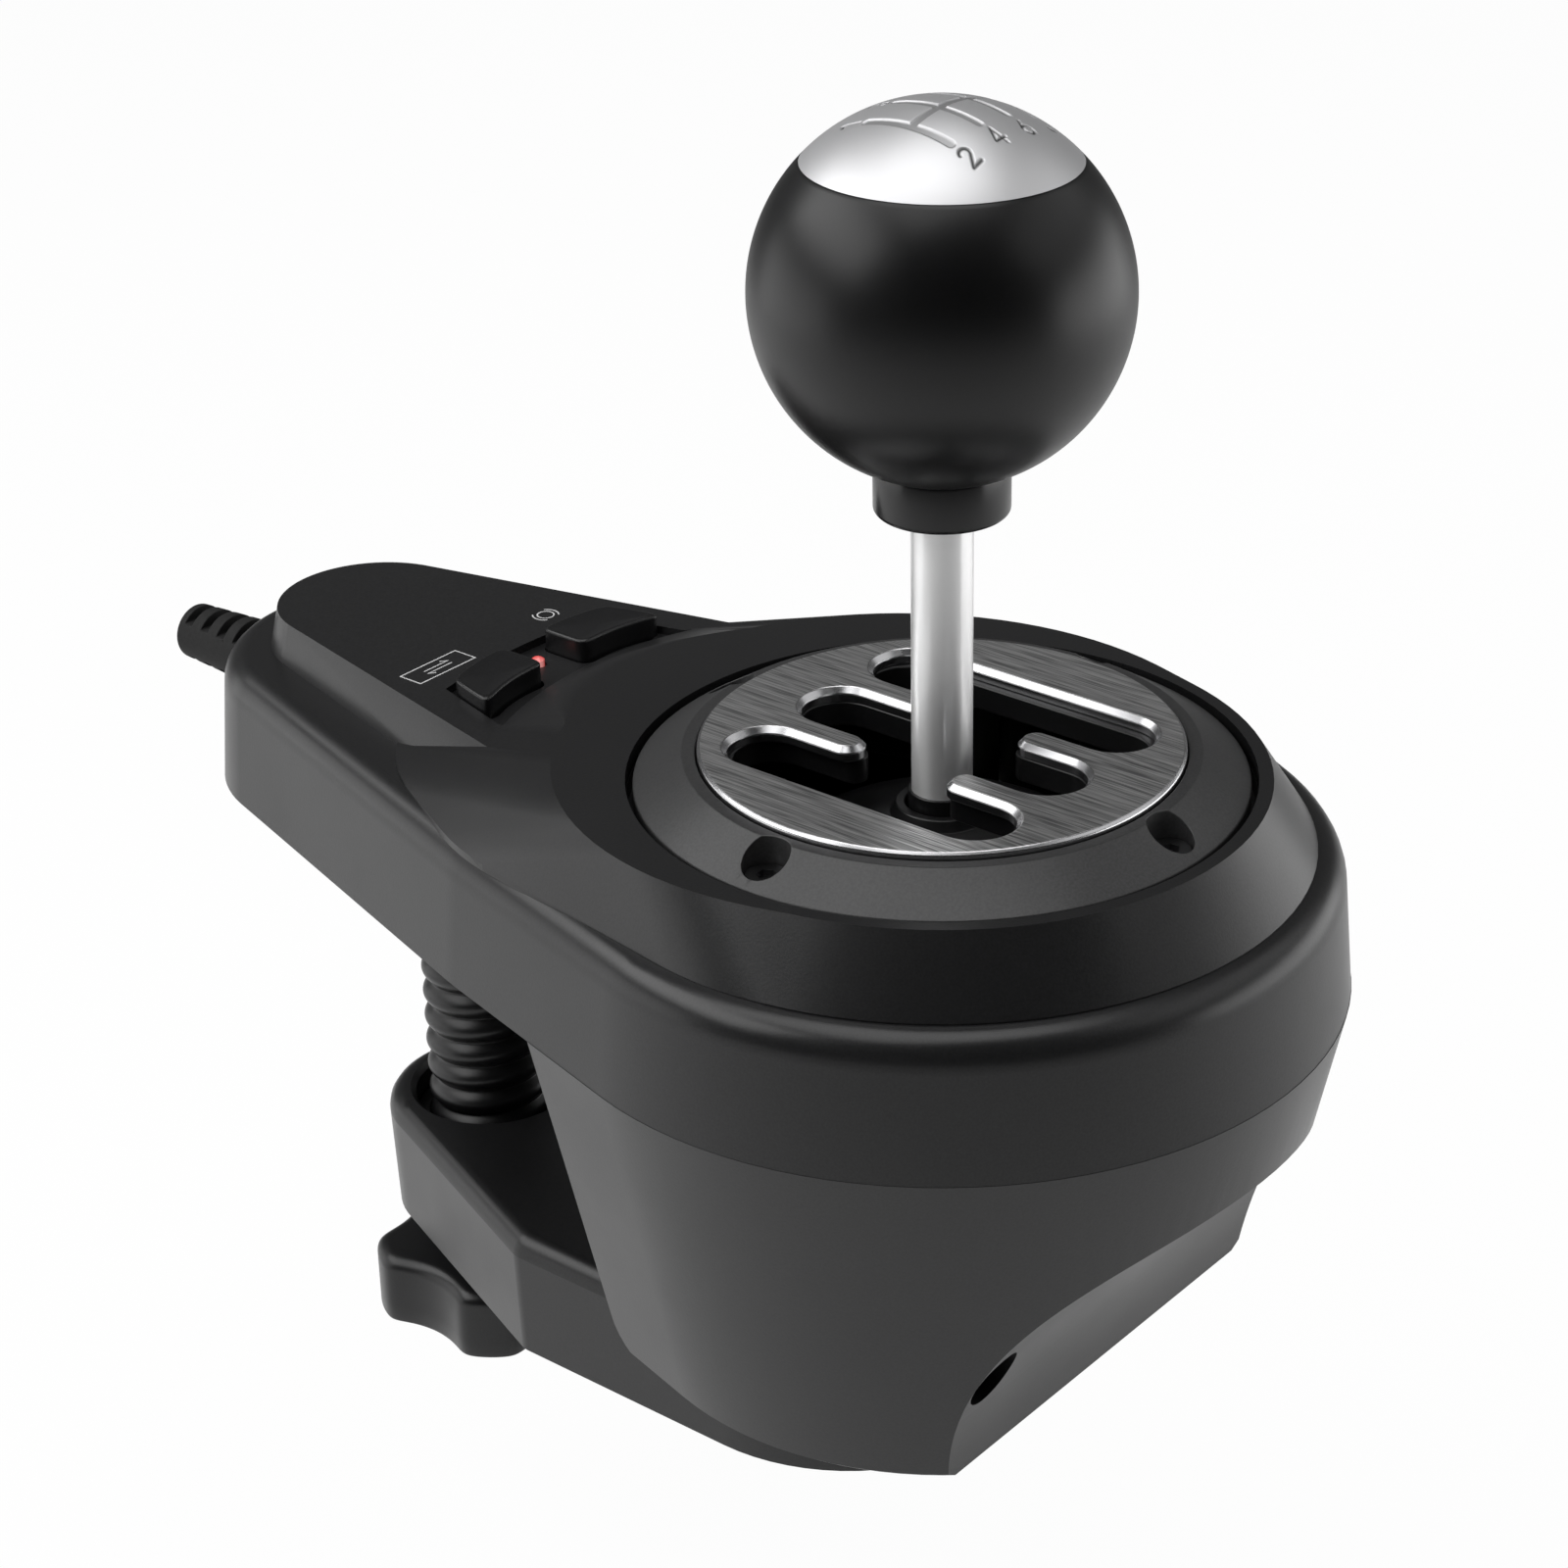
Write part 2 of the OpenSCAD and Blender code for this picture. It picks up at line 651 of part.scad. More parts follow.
module clamp_arm() {
    rim = 3.6;
    rib = 3;
    color("#2f2f2f") difference() {
        hull() {
            arm_slice(0.8, arm_bottom);
            for (a = [0:22.5:90]) arm_slice(rim * (1 - cos(a)), arm_top + skin + rim * (1 - sin(a)));
        }
        translate([-far, -far, -base_depth]) cube([2 * far, far + back_wall_y - 4, 40]);
        translate([0, clamp_y, -arm_bottom - over]) cylinder(r = arm_end_r - 5.1, h = arm_h + 2 * over);
        translate([0, clamp_y, -arm_top - 1])
            cylinder(r1 = arm_end_r - 5.1, r2 = arm_end_r - 3.9, h = 1.2);
        arm_pockets(rib);
        arm_places() {
            translate([0, 0, -arm_bottom - over])
                cylinder(r = 4, h = arm_bottom - base_depth - arm_seat_t + over);
            translate([0, 0, -arm_bottom]) cylinder(r = 2, h = arm_h, $fn = 24);
        }
        rig_places() translate([0, 0, -arm_bottom - over]) cylinder(r = 4, h = 12 + over);
    }
}

// Coring under the clamp arm, which leaves ribs and the insert bosses standing
module arm_pockets(rib) {
    top = arm_bottom - base_depth - 4;
    for (x = [-1, 1]) {
        translate([x * 9 - 7.5, -6, -arm_bottom - over]) cube([15, 28, top + over]);
        translate([x * 7.5 - 6, 25, -arm_bottom - over]) cube([12, 22, top + over]);
        translate([x * 7.5 - 6, 50, -arm_bottom - over]) cube([12, 32, top + over + rib]);
        translate([x * 24 - 8, 38, -arm_bottom - over]) cube([16, 23, top + over]);
    }
}

module rig_places() {
    for (x = [-rig_x, rig_x]) for (y = rig_y) translate([x, y, 0]) children();
}

module rig_inserts() {
    color("#b08d3c") rig_places() translate([0, 0, -arm_bottom]) difference() {
        cylinder(r = 4 - fit, h = 12);
        translate([0, 0, -over]) cylinder(r = rig_bore_r, h = 14, $fn = 32);
    }
}

module clamp_nut() {
    color("#3c3c3c") translate([0, clamp_y, -arm_bottom + 1]) difference() {
        cylinder(r = arm_end_r - 5.1 - fit, h = arm_bottom - nut_top - 1);
        translate([0, 0, -over]) cylinder(r = screw_d / 2 + fit, h = arm_h + over);
    }
}

// Clamp screw: rounded threads of the given pitch along the whole shank
module clamp_screw() {
    root_r = screw_d / 2 - 1.7;
    length = star_top - screw_top;
    turns = floor((length - 10) / screw_pitch);
    color("#161616") translate([0, clamp_y, -star_top]) {
        rotate_extrude($fn = 72) polygon(concat([[0, 0], [root_r, 0]],
            [for (i = [0:turns - 1]) for (t = [0:0.125:0.875])
                [root_r + 1.7 * pow(sin(t * 180), 0.7), 6 + (i + t) * screw_pitch]],
            [[root_r, 6 + turns * screw_pitch], [root_r, length], [0, length]]));
        translate([0, 0, length - over]) cylinder(r = 6, h = 3.2 + over, $fn = 48);
    }
}

module swivel_pad() {
    color("#1c1c1c") translate([0, clamp_y, -pad_top - pad_t]) difference() {
        union() {
            cylinder(r = pad_d / 2, h = pad_t - facing_t - 1);
            translate([0, 0, pad_t - facing_t - 1])
                cylinder(r1 = pad_d / 2, r2 = pad_d / 2 - 1, h = 1);
        }
        translate([0, 0, -over]) cylinder(r = 6 + fit, h = 3.2 + over + fit, $fn = 48);
    }
}

module pad_facing() {
    color("#101010") translate([0, clamp_y, -pad_top - facing_t]) cylinder(r = pad_d / 2 - 1, h = facing_t);
}

// Star knob: broad lobes with narrow hollows between them, their rims rounded over
module star_plan(inset) {
    offset(r = lobe_round - inset, $fn = 32) offset(delta = -lobe_round) difference() {
        circle(r = star_r, $fn = 128);
        for (i = [0:star_lobes - 1]) rotate(star_turn + i * 360 / star_lobes)
            translate([star_r + hollow_r - hollow_d, 0]) circle(r = hollow_r, $fn = 64);
    }
}

module star_knob() {
    steps = 3;
    color("#1b1b1b") translate([0, clamp_y, -star_top]) difference() {
        union() {
            for (a = [90 / steps:90 / steps:90]) translate([0, 0, -star_h])
                linear_extrude(star_h - star_rim * (1 - sin(a))) star_plan(star_rim * (1 - cos(a)));
            translate([0, 0, -star_h + star_rim]) linear_extrude(star_h - 2 * star_rim) star_plan(0);
        }
        translate([0, 0, -star_h - over]) cylinder(r = 9, h = 5 + over);
    }
}

// Gimbal under the gate

module cradle_places() {
    for (x = [-24, 24]) for (y = [-20.5, 20.5]) translate([x, y, 0]) children();
}

// Base plate with two ears for the side-to-side pins and two lugs for the front screws
module gimbal_cradle() {
    foot = base_depth - floor_t;
    half_y = ear_y + ear_t;
    color("#4a4f55") difference() {
        union() {
            translate([-cradle_x, -half_y, -foot]) cube([2 * cradle_x, 2 * half_y, cradle_t]);
            for (s = [-1, 1]) translate([0, s * (ear_y + ear_t / 2), 0]) rotate([90, 0, 0])
                translate([0, 0, -ear_t / 2]) linear_extrude(ear_t) polygon([[-18, -foot], [18, -foot],
                    [8, -pivot_depth], [-8, -pivot_depth]]);
            for (s = [-1, 1]) translate([0, s * (ear_y + ear_t / 2), -pivot_depth]) rotate([90, 0, 0])
                cylinder(r = 8, h = ear_t, center = true);
            translate([-lug_x, -pocket_seat + seat, -foot]) cube([2 * lug_x, lug_l, cradle_t]);
            for (s = [-1, 1]) translate([s * (lug_x - lug_w / 2) - lug_w / 2, -pocket_seat + seat, -foot])
                cube([lug_w, lug_l, foot - pocket_depth + 6]);
        }
        translate([0, 0, -foot - over]) cylinder(r = dish_d / 2 + seat, h = 8);
        translate([0, 0, -pivot_depth]) rotate([90, 0, 0]) cylinder(r = pin_r + fit, h = 90, center = true);
        cradle_places() translate([0, 0, -foot - over]) cylinder(r = 1.7, h = 8, $fn = 24);
        arm_places() translate([0, 0, -foot - over]) cylinder(r = 1.95, h = 8, $fn = 24);
        for (s = [-1, 1]) translate([s * pocket_x, -40, -pocket_depth]) rotate([-90, 0, 0])
            cylinder(r = 1.65, h = 40, $fn = 24);
        for (s = [-1, 1]) translate([-60, s * (ear_y + ear_t / 2) - 1.5, -foot + 14]) cube([120, 3, 16]);
    }
}

module cradle_screws() {
    color("#5a5a5a") cradle_places() translate([0, 0, -base_depth + floor_t + cradle_t])
        screw(1.4, 6.5, 3, 2);
}

module detent_dish() {
    foot = base_depth - floor_t;
    color("#d8d4c8") difference() {
        translate([0, 0, -foot]) cylinder(r = dish_d / 2, h = 7);
        translate([0, 0, -pivot_depth]) sphere(r = dish_r, $fn = 96);
        for (x = [-1, 0, 1]) for (y = [-1, 0, 1]) translate([0, 0, -pivot_depth])
            rotate([0, x * select_angle, 0]) rotate([y * shift_angle, 0, 0])
                translate([0, 0, pivot_depth - nose_depth + nose_r - 0.5])
                    sphere(r = nose_r + slip, $fn = 32);
    }
}

module sensor_board() {
    foot = base_depth - floor_t - cradle_t;
    color("#1f5a34") translate([-cradle_x + 0.8, 0, -foot]) {
        translate([0, -sensor_w / 2, 0]) cube([board_t, sensor_w, sensor_w]);
        translate([board_t, -3, 7]) cube([1.4, 6, 5]);
    }
}

// Wound round the long pin in front of the cradle
module centering_spring() {
    color("#8c8c8c") translate([0, -ear_y - ear_t - 1, -pivot_depth]) rotate([90, 0, 0])
        coil(4.6, 0.7, 5, 8.2);
}

module gimbal_yoke() {
    color("#5c6268") translate([0, 0, -pivot_depth]) difference() {
        translate([-yoke_x, -yoke_y, -yoke_h / 2]) cube([2 * yoke_x, 2 * yoke_y, yoke_h]);
        translate([-block_w / 2 - 1, -yoke_in_y, -yoke_h]) cube([block_w + 2, 2 * yoke_in_y, 2 * yoke_h]);
        rotate([90, 0, 0]) cylinder(r = pin_r, h = 90, center = true);
        rotate([0, 90, 0]) cylinder(r = pin_r, h = 90, center = true);
    }
}

// Pins of the side-to-side axis; the front one carries the centring spring
module select_pins() {
    color("#b5b8ba") translate([0, 0, -pivot_depth]) {
        translate([0, -yoke_in_y - 0.5, 0]) rotate([90, 0, 0]) {
            cylinder(r = pin_r, h = ear_y + ear_t + 12 - yoke_in_y);
            translate([0, 0, ear_y + ear_t + 10 - yoke_in_y]) cylinder(r = 5.6, h = 1.5);
        }
        translate([0, yoke_in_y + 0.5, 0]) rotate([-90, 0, 0])
            cylinder(r = pin_r, h = ear_y + ear_t + 1 - yoke_in_y);
    }
}

module shift_pins() {
    color("#b5b8ba") translate([0, 0, -pivot_depth]) for (s = [0, 180]) rotate([0, 90, s])
        translate([0, 0, rod_r + 1.8]) cylinder(r = pin_r, h = yoke_x - rod_r - 1.8);
}

module pivot_block() {
    color("#6b7076") difference() {
        union() {
            translate([0, 0, -pivot_depth]) rotate([0, 90, 0])
                cylinder(r = block_r, h = block_w, center = true);
            translate([0, 0, -pivot_depth]) cylinder(r = sleeve_r, h = pivot_depth - sleeve_top);
            translate([0, 0, -cup_top]) cylinder(r = cup_r - 0.5, h = cup_top - pivot_depth);
            translate([0, 0, -cup_end]) cylinder(r = cup_r, h = cup_end - cup_top);
        }
        translate([0, 0, -cup_top - over]) cylinder(r = bore_r, h = cup_top + over);
        translate([0, 0, -cup_floor]) cylinder(r = cup_bore, h = cup_floor - cup_top);
        translate([0, 0, -cup_end - over])
            cylinder(r = nose_r + fit, h = cup_end - plunger_bore_top + over);
        for (s = [0, 180]) translate([0, 0, -pivot_depth]) rotate([0, 90, s])
            translate([0, 0, rod_r + 1.5]) cylinder(r = pin_r + fit, h = block_w);
        translate([-cup_r - over, 0, -cup_floor + 3]) rotate([0, 90, 0]) cylinder(r = 2.5, h = 2 + over);
    }
}

module lever_magnet() {
    color("#c8c8c8") translate([-cup_r - 0.6, 0, -cup_floor + 3]) rotate([0, 90, 0])
        cylinder(r = 2.5, h = 2.4);
}

module detent_plunger() {
    color("#cfcfcf") {
        translate([0, 0, -nose_depth + nose_r]) sphere(r = nose_r, $fn = 48);
        translate([0, 0, -nose_depth + nose_r]) cylinder(r = nose_r, h = nose_depth - nose_r - plunger_top);
    }
}

module plunger_spring() {
    color("#8c8c8c") translate([0, 0, -plunger_top]) coil(1.8, 0.3, 3, plunger_top - plunger_bore_top);
}

// Part of a ball about the pivot that keeps the gate closed, with a bezel round the rod
module dust_dome() {
    color("#1a1a1a") {
        difference() {
            translate([0, 0, -pivot_depth]) sphere(r = dome_r, $fn = 128);
            translate([0, 0, -pivot_depth]) sphere(r = dome_r - dome_t, $fn = 128);
            translate([0, 0, -pivot_depth - dome_r * (1 - cos(dome_edge)) - dome_r])
                cylinder(r = dome_r + over, h = 2 * dome_r);
            translate([0, 0, -bezel_depth - 20]) cylinder(r = sleeve_r + fit, h = 40);
        }
        rotate_extrude() polygon([[sleeve_r + fit, -26], [sleeve_r + 1.8, -26], [sleeve_r + 1.8, -13.4],
            [bezel_r, -bezel_depth], [6.1, -bezel_depth], [5.9, -12], [5.9, -14.5],
            [sleeve_r + fit, -15.5]]);
    }
}

module return_spring() {
    color("#8c8c8c") translate([0, 0, -cup_floor]) coil(4.6, 0.6, 4, cup_floor - rod_end);
}

// Lever

module lever_rod() {
    color("#c9ccce") difference() {
        translate([0, 0, -rod_end]) cylinder(r = rod_r, h = rod_end + knob_rise - 12);
        translate([0, 0, -rod_end + 0.9]) difference() {
            cylinder(r = rod_r + over, h = 1.1);
            cylinder(r = rod_r - 1, h = 1.1);
        }
    }
}

module rod_clip() {
    color("#7a7a7a") translate([0, 0, -rod_end + 0.95]) difference() {
        cylinder(r = cup_bore - slip, h = 1);
        translate([0, 0, -over]) cylinder(r = rod_r - 1, h = 3);
        translate([0, -1.5, -over]) cube([20, 3, 3]);
    }
}

module rod_sleeve() {
    color("#5a5a5a") translate([0, 0, -13.4]) difference() {
        cylinder(r = 5.55, h = 4.8);
        translate([0, 0, -over]) cylinder(r = rod_r, h = 8);
    }
}

module knob_ball() {
    r = knob_d / 2;
    color("#1d1d1d") difference() {
        translate([0, 0, knob_rise]) sphere(r = r, $fn = 128);
        cap_space(seat / 2);
        translate([0, 0, 0]) cylinder(r = rod_r, h = knob_rise - 12);
        translate([0, 0, 0]) cylinder(r = collar_d / 2, h = knob_rise - r + 2.1);
    }
}

// Space of the cap: what lies above its edge, and the spigot that presses into the ball
module cap_space(gap) {
    translate([0, 0, knob_rise + cap_rise]) cylinder(r = knob_d, h = knob_d);
    translate([0, 0, knob_rise + cap_rise - cap_t - gap]) cylinder(r = 13, h = cap_t + over);
}

module knob_cap() {
    color("#c4c6c8") {
        intersection() {
            translate([0, 0, knob_rise]) sphere(r = knob_d / 2, $fn = 128);
            translate([0, 0, knob_rise + cap_rise]) cylinder(r = knob_d, h = knob_d);
        }
        translate([0, 0, knob_rise + cap_rise - cap_t]) cylinder(r = 12.95, h = cap_t);
    }
}

module knob_collar() {
    top = knob_rise - knob_d / 2 + 2.1;
    color("#262626") translate([0, 0, collar_rise]) difference() {
        union() {
            cylinder(r1 = collar_d / 2 - 1, r2 = collar_d / 2, h = 1);
            translate([0, 0, 1]) cylinder(r = collar_d / 2, h = top - collar_rise - 1);
        }
        translate([0, 0, -over]) cylinder(r = rod_r, h = 30);
    }
}

// Controls on the tail

module button_body(side) {
    color("#202020") {
        translate([0, 0, -button_top - 1]) linear_extrude(1) scale([side, 1]) button_plan(-0.6);
        translate([0, 0, -recess_depth - wall - 0.4])
            linear_extrude(recess_depth + wall - 0.6 - button_top) scale([side, 1]) button_plan(0);
        translate([side * (button_gap + button_w) / 2, button_arc + button_l / 2, -stem_end])
            cylinder(r = 2, h = stem_end - recess_depth - wall);
    }
}

module range_button() button_body(-1);

module park_button() button_body(1);

module main_board() {
    color("#1f5a34") difference() {
        translate([-board_post_x - 4, board_post_y[0] - 4, -board_depth - board_t])
            cube([2 * board_post_x + 8, board_post_y[1] - board_post_y[0] + 8, board_t]);
        board_places() translate([0, 0, -board_depth - 4]) cylinder(r = 1.2, h = 8, $fn = 24);
    }
}

module board_screws() {
    color("#8c8c8c") board_places() translate([0, 0, -board_depth - board_t]) rotate([180, 0, 0])
        screw(0.95, 6, 2.2, 1.3);
}

module key_switches() {
    color("#3a3a3a") for (s = [-1, 1])
        translate([s * (button_gap + button_w) / 2, button_arc + button_l / 2, -board_depth]) {
            translate([-3, -3, 0]) cube([6, 6, 2.2]);
            cylinder(r = 1.6, h = switch_h);
        }
}

module led_lens() {
    color("#d03030") translate([0, led_y, -board_depth]) {
        cylinder(r = 1.5, h = board_depth - recess_depth, $fn = 32);
        translate([0, 0, board_depth - recess_depth]) sphere(r = 1.5, $fn = 32);
    }
}

// Cable relief: a tapered sleeve, slotted from above and below so that it bends
module strain_relief() {
    base_r = relief_d / 2 + 1.1;
    start = tail_y + tail_r;
    pitch = 4.6;
    color("#1e1e1e") translate([0, start, -relief_depth]) rotate([-90, 0, 0]) difference() {
        union() {
            translate([0, 0, -8]) cylinder(r = relief_d / 2, h = 9);
            translate([0, 0, -wall - 5]) cylinder(r = relief_d / 2 + 2, h = 1.8);
            translate([0, 0, 0.3]) cylinder(r1 = base_r, r2 = relief_d / 2, h = relief_l - 0.8);
            translate([0, 0, relief_l - 0.5]) cylinder(r1 = relief_d / 2, r2 = relief_d / 2 - 0.5, h = 0.5);
        }
        translate([0, 0, -10]) cylinder(r = cable_d / 2, h = relief_l + 12, $fn = 32);
        for (i = [0:3]) for (s = [-1, 1]) translate([-10, s * (cable_d / 2 + 6) - 5, 3.2 + i * pitch])
            cube([20, 10, 2]);
    }
}

at_jaw() upper_shell();
at_jaw() lower_shell();
at_jaw() tail_cover();
at_jaw() clamp_arm();
at_jaw() upper_jaw_pad();
at_jaw() gate_ring();
at_jaw() gate_plate();
at_jaw() gate_guide();
at_jaw() ring_screws();
at_jaw() shell_screws();
at_jaw() arm_screws();
at_jaw() front_screws();
at_jaw() cover_screws();
at_jaw() board_screws();
at_jaw() rig_inserts();
at_jaw() clamp_nut();
at_jaw() gimbal_cradle();
at_jaw() cradle_screws();
at_jaw() detent_dish();
at_jaw() sensor_board();
at_jaw() main_board();
at_jaw() key_switches();
at_jaw() led_lens();
at_jaw() strain_relief();
at_jaw() centering_spring();
at_jaw() gimbal_yoke();
at_jaw() select_pins();
at_jaw() shift_pins();
at_jaw() pivot_block();
at_jaw() dust_dome();
at_jaw() detent_plunger();
at_jaw() plunger_spring();
at_jaw() lever_magnet();
at_jaw() return_spring();
at_jaw() lever_rod();
at_jaw() rod_sleeve();
at_jaw() rod_clip();
at_jaw() knob_ball();
at_jaw() knob_cap();
at_jaw() knob_collar();
at_jaw() range_button();
at_jaw() park_button();
at_jaw() swivel_pad();
at_jaw() pad_facing();
at_jaw() clamp_screw();
at_jaw() star_knob();
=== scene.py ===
import bmesh
import bpy
import json
import math
import numpy as np
from mathutils import Matrix, Vector


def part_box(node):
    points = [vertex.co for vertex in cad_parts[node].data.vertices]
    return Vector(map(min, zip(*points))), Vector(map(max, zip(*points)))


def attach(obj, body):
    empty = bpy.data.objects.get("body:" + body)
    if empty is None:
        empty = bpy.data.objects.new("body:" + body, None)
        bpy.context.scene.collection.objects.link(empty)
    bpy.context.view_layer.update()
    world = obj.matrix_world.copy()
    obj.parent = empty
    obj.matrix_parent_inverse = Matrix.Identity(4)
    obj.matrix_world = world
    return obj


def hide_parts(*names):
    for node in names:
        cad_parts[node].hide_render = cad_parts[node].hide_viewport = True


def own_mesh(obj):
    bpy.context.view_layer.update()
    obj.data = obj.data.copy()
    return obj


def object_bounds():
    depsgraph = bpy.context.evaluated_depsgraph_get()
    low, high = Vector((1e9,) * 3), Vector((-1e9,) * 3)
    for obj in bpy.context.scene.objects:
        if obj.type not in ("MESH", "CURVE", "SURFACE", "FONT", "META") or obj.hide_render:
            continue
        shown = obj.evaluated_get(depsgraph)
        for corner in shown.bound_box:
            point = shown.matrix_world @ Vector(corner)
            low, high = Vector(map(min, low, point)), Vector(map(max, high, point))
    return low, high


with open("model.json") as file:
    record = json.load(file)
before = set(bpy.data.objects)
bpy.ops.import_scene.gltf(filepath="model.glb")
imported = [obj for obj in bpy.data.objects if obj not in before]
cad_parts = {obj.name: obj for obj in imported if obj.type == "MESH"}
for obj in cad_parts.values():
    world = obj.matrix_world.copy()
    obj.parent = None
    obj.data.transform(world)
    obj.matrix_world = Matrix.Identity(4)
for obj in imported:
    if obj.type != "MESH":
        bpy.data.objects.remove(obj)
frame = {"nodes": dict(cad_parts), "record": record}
cadBox = [list(corner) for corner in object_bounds()]
mm = 0.001
white = (1, 1, 1, 1)

place = {
    "leverY": 107.3,        # the lever stands this far in front of the clamp screw, mm
    "plateTop": 43.0,       # top of the gate plate above the upper jaw's face, mm
}


def fromLever(points):
    # from the lever's own frame, in mm, to the part's frame, in metres
    return (np.asarray(points, float) + [0.0, -place["leverY"], place["plateTop"]]) * mm


# Camera and light

camera = {
    "elevation": 26.74,     # degrees above the horizon
    "azimuth": -52.74,      # degrees, turned from looking along +Y
    "distance": 598.9,      # mm to the gate plate's centre
    "focal": 3778.0,        # in pixels of the 1600 pixel photograph
    "centre": (962.0, 800.0),       # where the camera's axis meets the photograph
    "plateAt": (961.3, 754.1),      # where the plate's centre shows in it
    "photoSize": 1600.0,
    "sensor": 36.0,
    "near": 0.01, "far": 20.0,      # clipping, metres
}


def cameraAxes():
    # unit vectors of the camera in the lever's frame: right, down, forward, and forward on the level
    lift, turn = math.radians(camera["elevation"]), math.radians(camera["azimuth"])
    flat = np.array([-math.sin(turn), math.cos(turn), 0.0])
    right = np.array([math.cos(turn), math.sin(turn), 0.0])
    forward = flat * math.cos(lift) + np.array([0.0, 0.0, -math.sin(lift)])
    return right, np.cross(forward, right), forward, flat


right, down, forward, levelAhead = cameraAxes()


def makeCamera():
    offset = [(at - mid) / camera["focal"] for at, mid in zip(camera["plateAt"], camera["centre"])]
    plate = camera["distance"] * (offset[0] * right + offset[1] * down + forward)
    data = bpy.data.cameras.new("photoCamera")
    data.sensor_width = camera["sensor"]
    data.lens = camera["focal"] * camera["sensor"] / camera["photoSize"]
    half = camera["photoSize"] / 2
    data.shift_x = (half - camera["centre"][0]) / camera["photoSize"]
    data.shift_y = (camera["centre"][1] - half) / camera["photoSize"]
    data.clip_start, data.clip_end = camera["near"], camera["far"]
    thing = bpy.data.objects.new("photoCamera", data)
    bpy.context.collection.objects.link(thing)
    turn = Matrix((right, -down, -forward)).transposed()
    thing.matrix_world = Matrix.Translation(Vector(fromLever(-plate))) @ turn.to_4x4()
    bpy.context.scene.camera = thing
    print("camera placed at", [round(v, 4) for v in thing.location])


lampAim = (0.0, 20.0, -10.0)        # what the lamps point at, in the lever's frame in mm
lamps = {
    # name: (right, up, towards the camera) in metres from there, width, height, watts
    "leftLow": ((-0.85, 0.02, -0.10), 1.0, 0.36, 1.7),
    "leftHigh": ((-0.75, 0.62, 0.05), 1.2, 0.5, 6.6),
    "rightLow": ((0.85, 0.02, -0.18), 1.1, 0.36, 3.2),
    "rightHigh": ((0.75, 0.62, -0.05), 1.2, 0.5, 1.6),
    "topBox": ((-0.10, 1.15, 0.05), 1.1, 1.1, 9.2),
}


def makeLamps():
    target = fromLever(lampAim)
    for name, (spot, width, height, power) in lamps.items():
        data = bpy.data.lights.new(name, "AREA")
        data.shape = "RECTANGLE"
        data.size, data.size_y, data.energy = width, height, power
        thing = bpy.data.objects.new(name, data)
        bpy.context.collection.objects.link(thing)
        where = target + spot[0] * right + spot[1] * np.array([0.0, 0.0, 1.0]) - spot[2] * levelAhead
        turn = Vector(target - where).to_track_quat("-Z", "Y").to_matrix().to_4x4()
        thing.matrix_world = Matrix.Translation(Vector(where)) @ turn
    print("lamps", len(lamps))


# Node helpers

def addNode(tree, kind, values=None, links=None):
    node = tree.nodes.new(kind)
    for socket, value in (values or {}).items():
        node.inputs[socket].default_value = value
    for socket, source in (links or {}).items():
        tree.links.new(source, node.inputs[socket])
    return node


def mathNode(tree, operation, *values):
    node = tree.nodes.new("ShaderNodeMath")
    node.operation = operation
    for slot, value in enumerate(values):
        if isinstance(value, (int, float)):
            node.inputs[slot].default_value = value
        else:
            tree.links.new(value, node.inputs[slot])
    return node.outputs[0]


def vectorNode(tree, operation, vector, fixed):
    node = addNode(tree, "ShaderNodeVectorMath", {1: fixed}, {0: vector})
    node.operation = operation
    return node.outputs["Value" if operation == "DOT_PRODUCT" else "Vector"]


def rangeNode(tree, value, fromMin, fromMax, toMin, toMax):
    values = {"From Min": fromMin, "From Max": fromMax, "To Min": toMin, "To Max": toMax}
    return addNode(tree, "ShaderNodeMapRange", values, {"Value": value}).outputs[0]


def aroundHalf(tree, value, low, high, spread):
    # noise lies about a half: what is within the spread of it runs from low to high
    return rangeNode(tree, value, 0.5 - spread, 0.5 + spread, low, high)


def blendColour(tree, share, low, high):
    # runs from low to high with the share; each is a colour or another node's output
    mix = tree.nodes.new("ShaderNodeMix")
    mix.data_type = "RGBA"
    tree.links.new(share, mix.inputs[0])
    for slot, colour in ((6, low), (7, high)):
        if isinstance(colour, tuple):
            mix.inputs[slot].default_value = (*colour, 1.0)
        else:
            tree.links.new(colour, mix.inputs[slot])
    return mix.outputs[2]


def mixShader(tree, share, first, second):
    links = {0: share, 1: first.outputs[0], 2: second.outputs[0]}
    return addNode(tree, "ShaderNodeMixShader", links=links)


surround = {
    "light": 0.02,          # how much the world lights the object
    "glossyBehind": 0.11,   # how bright metal and gloss see it behind the object
    "glossyAhead": 0.01,    # and on the camera's side
    "turnOver": (-0.6, 0.9),        # it fades between these cosines to the camera's way
    "floorNear": 0.27,      # how bright metal and gloss see the floor close to the object
    "floorFar": 0.12,       # and away from it, towards the camera
    "nearRadius": 0.19, "farRadius": 0.40,
    "sideways": 0.6,        # how far the bright part stretches to the sides: smaller is farther
    "floorDrop": 44.0,      # mm below the lowest piece, room for the opened clamp
    "floorHalf": 6.0,       # half the floor's width, metres
    "floorColour": 0.8,
    "floorGlow": 0.97,      # share of the floor that the camera sees as plain white
}


